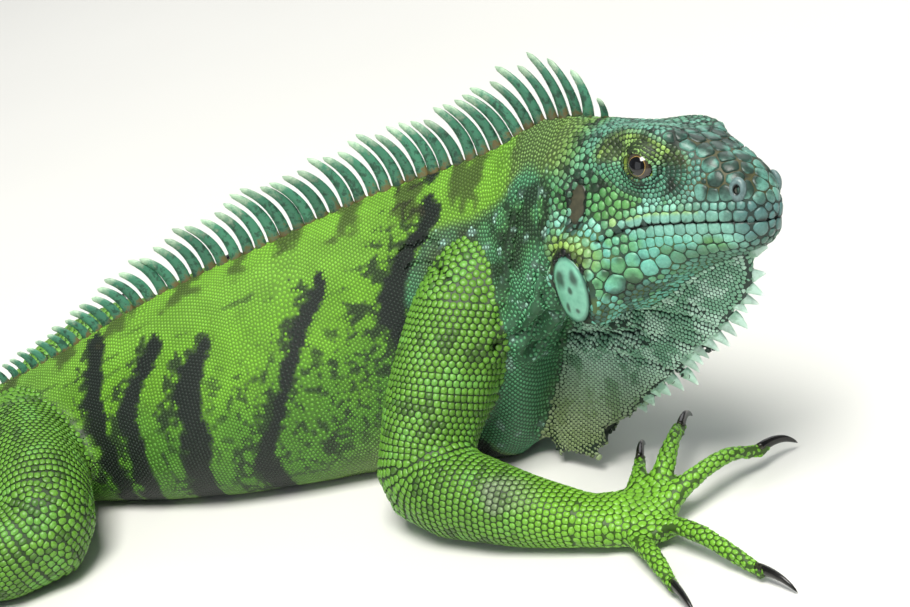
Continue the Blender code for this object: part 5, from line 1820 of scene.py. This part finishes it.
# %% Plates and drums
def dome(name, node, rings, sides, bulge, sink, side, lift):
    """An oval dome over the middle of a solid, set in its seat and closed underneath."""
    outline = to_head(read_node(node)[0])
    low, high = outline.min(axis=0), outline.max(axis=0)
    centre = (low + high) / 2
    key = node.rsplit("_", 1)[0]
    half = np.insert(np.array(PLATE_HALF if key == "jowl_plate" else DRUM_HALF) * 0.98, 1, 1.0)
    plane = seats[key, side]
    turns = circle(sides)
    layers = []
    for index, share in enumerate(np.concatenate([[1.0], np.linspace(1.0, 0.04, rings)])):
        wobble = 1 + 0.03 * np.sin(3 * turns + 1) + 0.02 * np.sin(5 * turns)
        u = centre[0] + half[0] * share * np.cos(turns) * wobble
        v = centre[2] + half[2] * share * np.sin(turns) * wobble
        depth = bulge * (1 - share ** 3.0) if index else -sink
        seat = plane[0] + plane[1] * u + plane[2] * v + lift + depth
        layers.append(from_head(np.column_stack([u, side * seat, v])))
    if side > 0:
        layers = [layer[::-1] for layer in layers]
    points, corners, counts = swept(layers)
    item = mesh_object(name, points, corners, counts)
    local = to_head(points)
    spread = (local - centre) / half
    reach = np.hypot(spread[:, 0], spread[:, 2])
    add_uv(item.data, np.column_stack([spread[:, 0], spread[:, 2]]) * 0.45 + 0.5)
    return item, spread, reach


BLOTCHES = ((-0.42, 0.26, 0.30, 0.26), (0.36, 0.36, 0.26, 0.22), (0.06, -0.02, 0.16, 0.12),
            (-0.30, -0.55, 0.10, 0.12), (0.25, -0.62, 0.12, 0.08))  # place and half size, as shares of the plate
domes = {}
for word, side in SIDES:
    plate, spread, reach = dome(f"jowl_shield_{word}", f"jowl_plate_{word}", 40, 72, 1.1, 2.0, side, 0.0)
    blotch = np.zeros(len(reach))
    for u, v, wide, tall in BLOTCHES:
        off = np.hypot((spread[:, 0] - u) / wide, (spread[:, 2] - v) / tall)
        off += 0.9 * (noise(read_points(plate.data), 1.8, 5) - 0.5)
        blotch = np.maximum(blotch, ramp(off, 1.5, 0.5) * 0.85)
    set_attribute(plate.data, "blotch", "FLOAT", blotch)
    set_attribute(plate.data, "reach", "FLOAT", reach)
    drum, spread, reach = dome(f"eardrum_{word}", f"tympanum_{word}", 14, 36, 0.3, 1.6, side, -0.1)
    set_attribute(drum.data, "reach", "FLOAT", reach)
    domes[f"jowl_plate_{word}"], domes[f"tympanum_{word}"] = plate, drum

# Jowl plate: polished keratin, pale aqua, darker at its rim.
plate_material = layered_finish("jowl plate keratin", 0.3, 2.5, 4.0, "#5a9f84", "#93d6ba", (
    ("reach", 0.86, 1.0, "#2e5b4b"), ("blotch", 0.0, 1.0, "#1d2c27")))
# Eardrum: thin dry skin, tan and a little glossy, darkened all over as painted shade for the hollow it lies in, most
# at its rim.
drum_material = layered_finish("eardrum skin", 0.4, 1.5, 3.0, "#2b2f26", "#57543f", (
    ("reach", 0.75, 1.0, "#1f241b"),))
for node, piece in domes.items():
    piece.data.materials.append(plate_material if node.startswith("jowl") else drum_material)

# %% [markdown]
# ## Nostrils
# Each nostril opens in a smooth raised ring of its own. It could be pulled up out of the skin, but the skin's
# faces are too wide for so small a rim, so it is a torus pressed to an oval and set on the skin.

# %% Nostril rings
nostrils = []
for word, side in SIDES:
    spot = from_head(NOSTRIL * (1, side, 1))
    seat, facing = [np.array(value) for value in skin_tree.find_nearest(Vector(spot))[:2]]
    facing = unit(facing + 1.2 * side * head_y)
    bpy.ops.object.select_all(action="DESELECT")
    bpy.ops.mesh.primitive_torus_add(major_segments=40, minor_segments=18, major_radius=2.05 * MM,
                                     minor_radius=1.15 * MM)
    ring = bpy.context.object
    ring.name = f"nostril_{word}"
    ring.data.name = ring.name
    points = read_points(ring.data) * (0.82, 1.12, 0.85)
    points[:, 2] -= 0.25 * np.hypot(points[:, 0], points[:, 1]) ** 1.5 * 0.3
    turn = np.array([unit(np.cross(head_z, facing)), np.cross(facing, unit(np.cross(head_z, facing))), facing])
    write_points(ring.data, points @ turn + seat + facing * 0.35)
    reach = np.hypot(points[:, 0] / 0.82, points[:, 1] / 1.12)
    set_attribute(ring.data, "reach", "FLOAT", reach)
    ring.data.uv_layers[0].name = "OFBake"
    ring.data.shade_smooth()
    nostrils.append(ring)
# Nostril ring: smooth grey-blue skin, black inside as painted shade in its opening.
nostril_material = layered_finish("nostril ring skin", 0.35, 0.9, 3.0, "#3d5558", "#7d9795", (
    ("reach", 1.7, 1.2, "#050606"),))
for ring in nostrils:
    ring.data.materials.append(nostril_material)

# %% [markdown]
# ## Claws
# The solids' claws are square in section. Each is swept again as a round, hooked horn through the middles of the
# solid's three rings.

# %% Claws
CLAW_SIDES, CLAW_STEPS, CLAW_HALF = 14, 14, (1.45, 2.05)
claw_pieces = {}
for name in CLAWS:
    tip, bend, root = claw_ends(name)
    root = root + unit(root - tip) * 2.2
    side = unit(np.cross(tip - root, (0.0, 0.0, 1.0)))
    control = 2 * bend - (tip + root) / 2 + np.array([0.0, 0.0, 0.8])
    rings, shares = [], []
    for t in np.linspace(0, 1, CLAW_STEPS):
        centre = root * (1 - t) ** 2 + 2 * control * t * (1 - t) + tip * t ** 2
        way = unit(-2 * root * (1 - t) + 2 * control * (1 - 2 * t) + 2 * tip * t)
        rise = unit(np.cross(side, way))
        thin = (1 - t) ** 0.62 * 0.97 + 0.03
        rings.append(oval_ring(centre, (side, rise), CLAW_HALF, thin, CLAW_SIDES))
        shares.append(np.full(CLAW_SIDES, t))
    piece = joined(f"{name}_horn", [(rings, np.concatenate(shares))])
    claw_pieces[name] = piece
# Claw: dense black horn, polished by use.
claw_material = spine_finish("claw horn", linear("#3a3a2c"), linear("#171613"), linear("#070707"), 0.22)
for piece in claw_pieces.values():
    piece.data.materials.append(claw_material)
print("claws:", len(claw_pieces))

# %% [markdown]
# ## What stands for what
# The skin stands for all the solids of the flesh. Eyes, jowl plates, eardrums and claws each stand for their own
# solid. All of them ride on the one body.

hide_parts(*[name for name in FLESH if name.split("_")[0] not in ("eye", "tympanum", "jowl")])
for node, piece in {**eyes, **domes}.items():
    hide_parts(node)
for name, piece in claw_pieces.items():
    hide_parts(name)
for item in [skin, crest, beard, *nostrils, *coat, *eyes.values(), *domes.values(), *claw_pieces.values()]:
    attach(item, "root")

# %% [markdown]
# ## Floor and light
# A plain pale floor and three soft lights: a broad one overhead and to the front, a weaker one from the left,
# and one from behind that draws the crest's outline.

# %% Floor and lights
FLOOR_HALF = 8.0
bpy.ops.object.select_all(action="DESELECT")
bpy.ops.mesh.primitive_plane_add(size=2 * FLOOR_HALF)
floor = bpy.context.object
floor.name = "floor"
# Floor: matt painted board.
floor_material = layered_finish("pale floor", 0.9, 250.0, 2.0, "#dcdcd8", "#e4e4e0")
floor.data.materials.append(floor_material)

for name, place, size, power, tint in (
        ("key light", (0.45, -0.7, 2.0), 1.0, 66.0, (1.0, 0.98, 0.93)),
        ("fill light", (-0.8, -2.4, 1.0), 2.0, 9.0, (0.92, 0.96, 1.0)),
        ("rim light", (-0.2, 2.2, 1.8), 2.0, 26.0, (1.0, 1.0, 1.0))):
    bpy.ops.object.light_add(type="AREA", location=place)
    light = bpy.context.object
    light.name = name
    light.data.size = size
    light.data.energy = power
    light.data.color = tint
    light.rotation_euler = (Vector((0.0, -0.02, 0.06)) - Vector(place)).to_track_quat("-Z", "Y").to_euler()
world = bpy.data.worlds.new("studio")
bpy.context.scene.world = world
world.use_nodes = True
glow = world.node_tree.nodes["Background"]
glow.inputs["Color"].default_value = (0.85, 0.9, 1.0, 1.0)
glow.inputs["Strength"].default_value = 0.20
bpy.context.scene.view_settings.view_transform = "Standard"
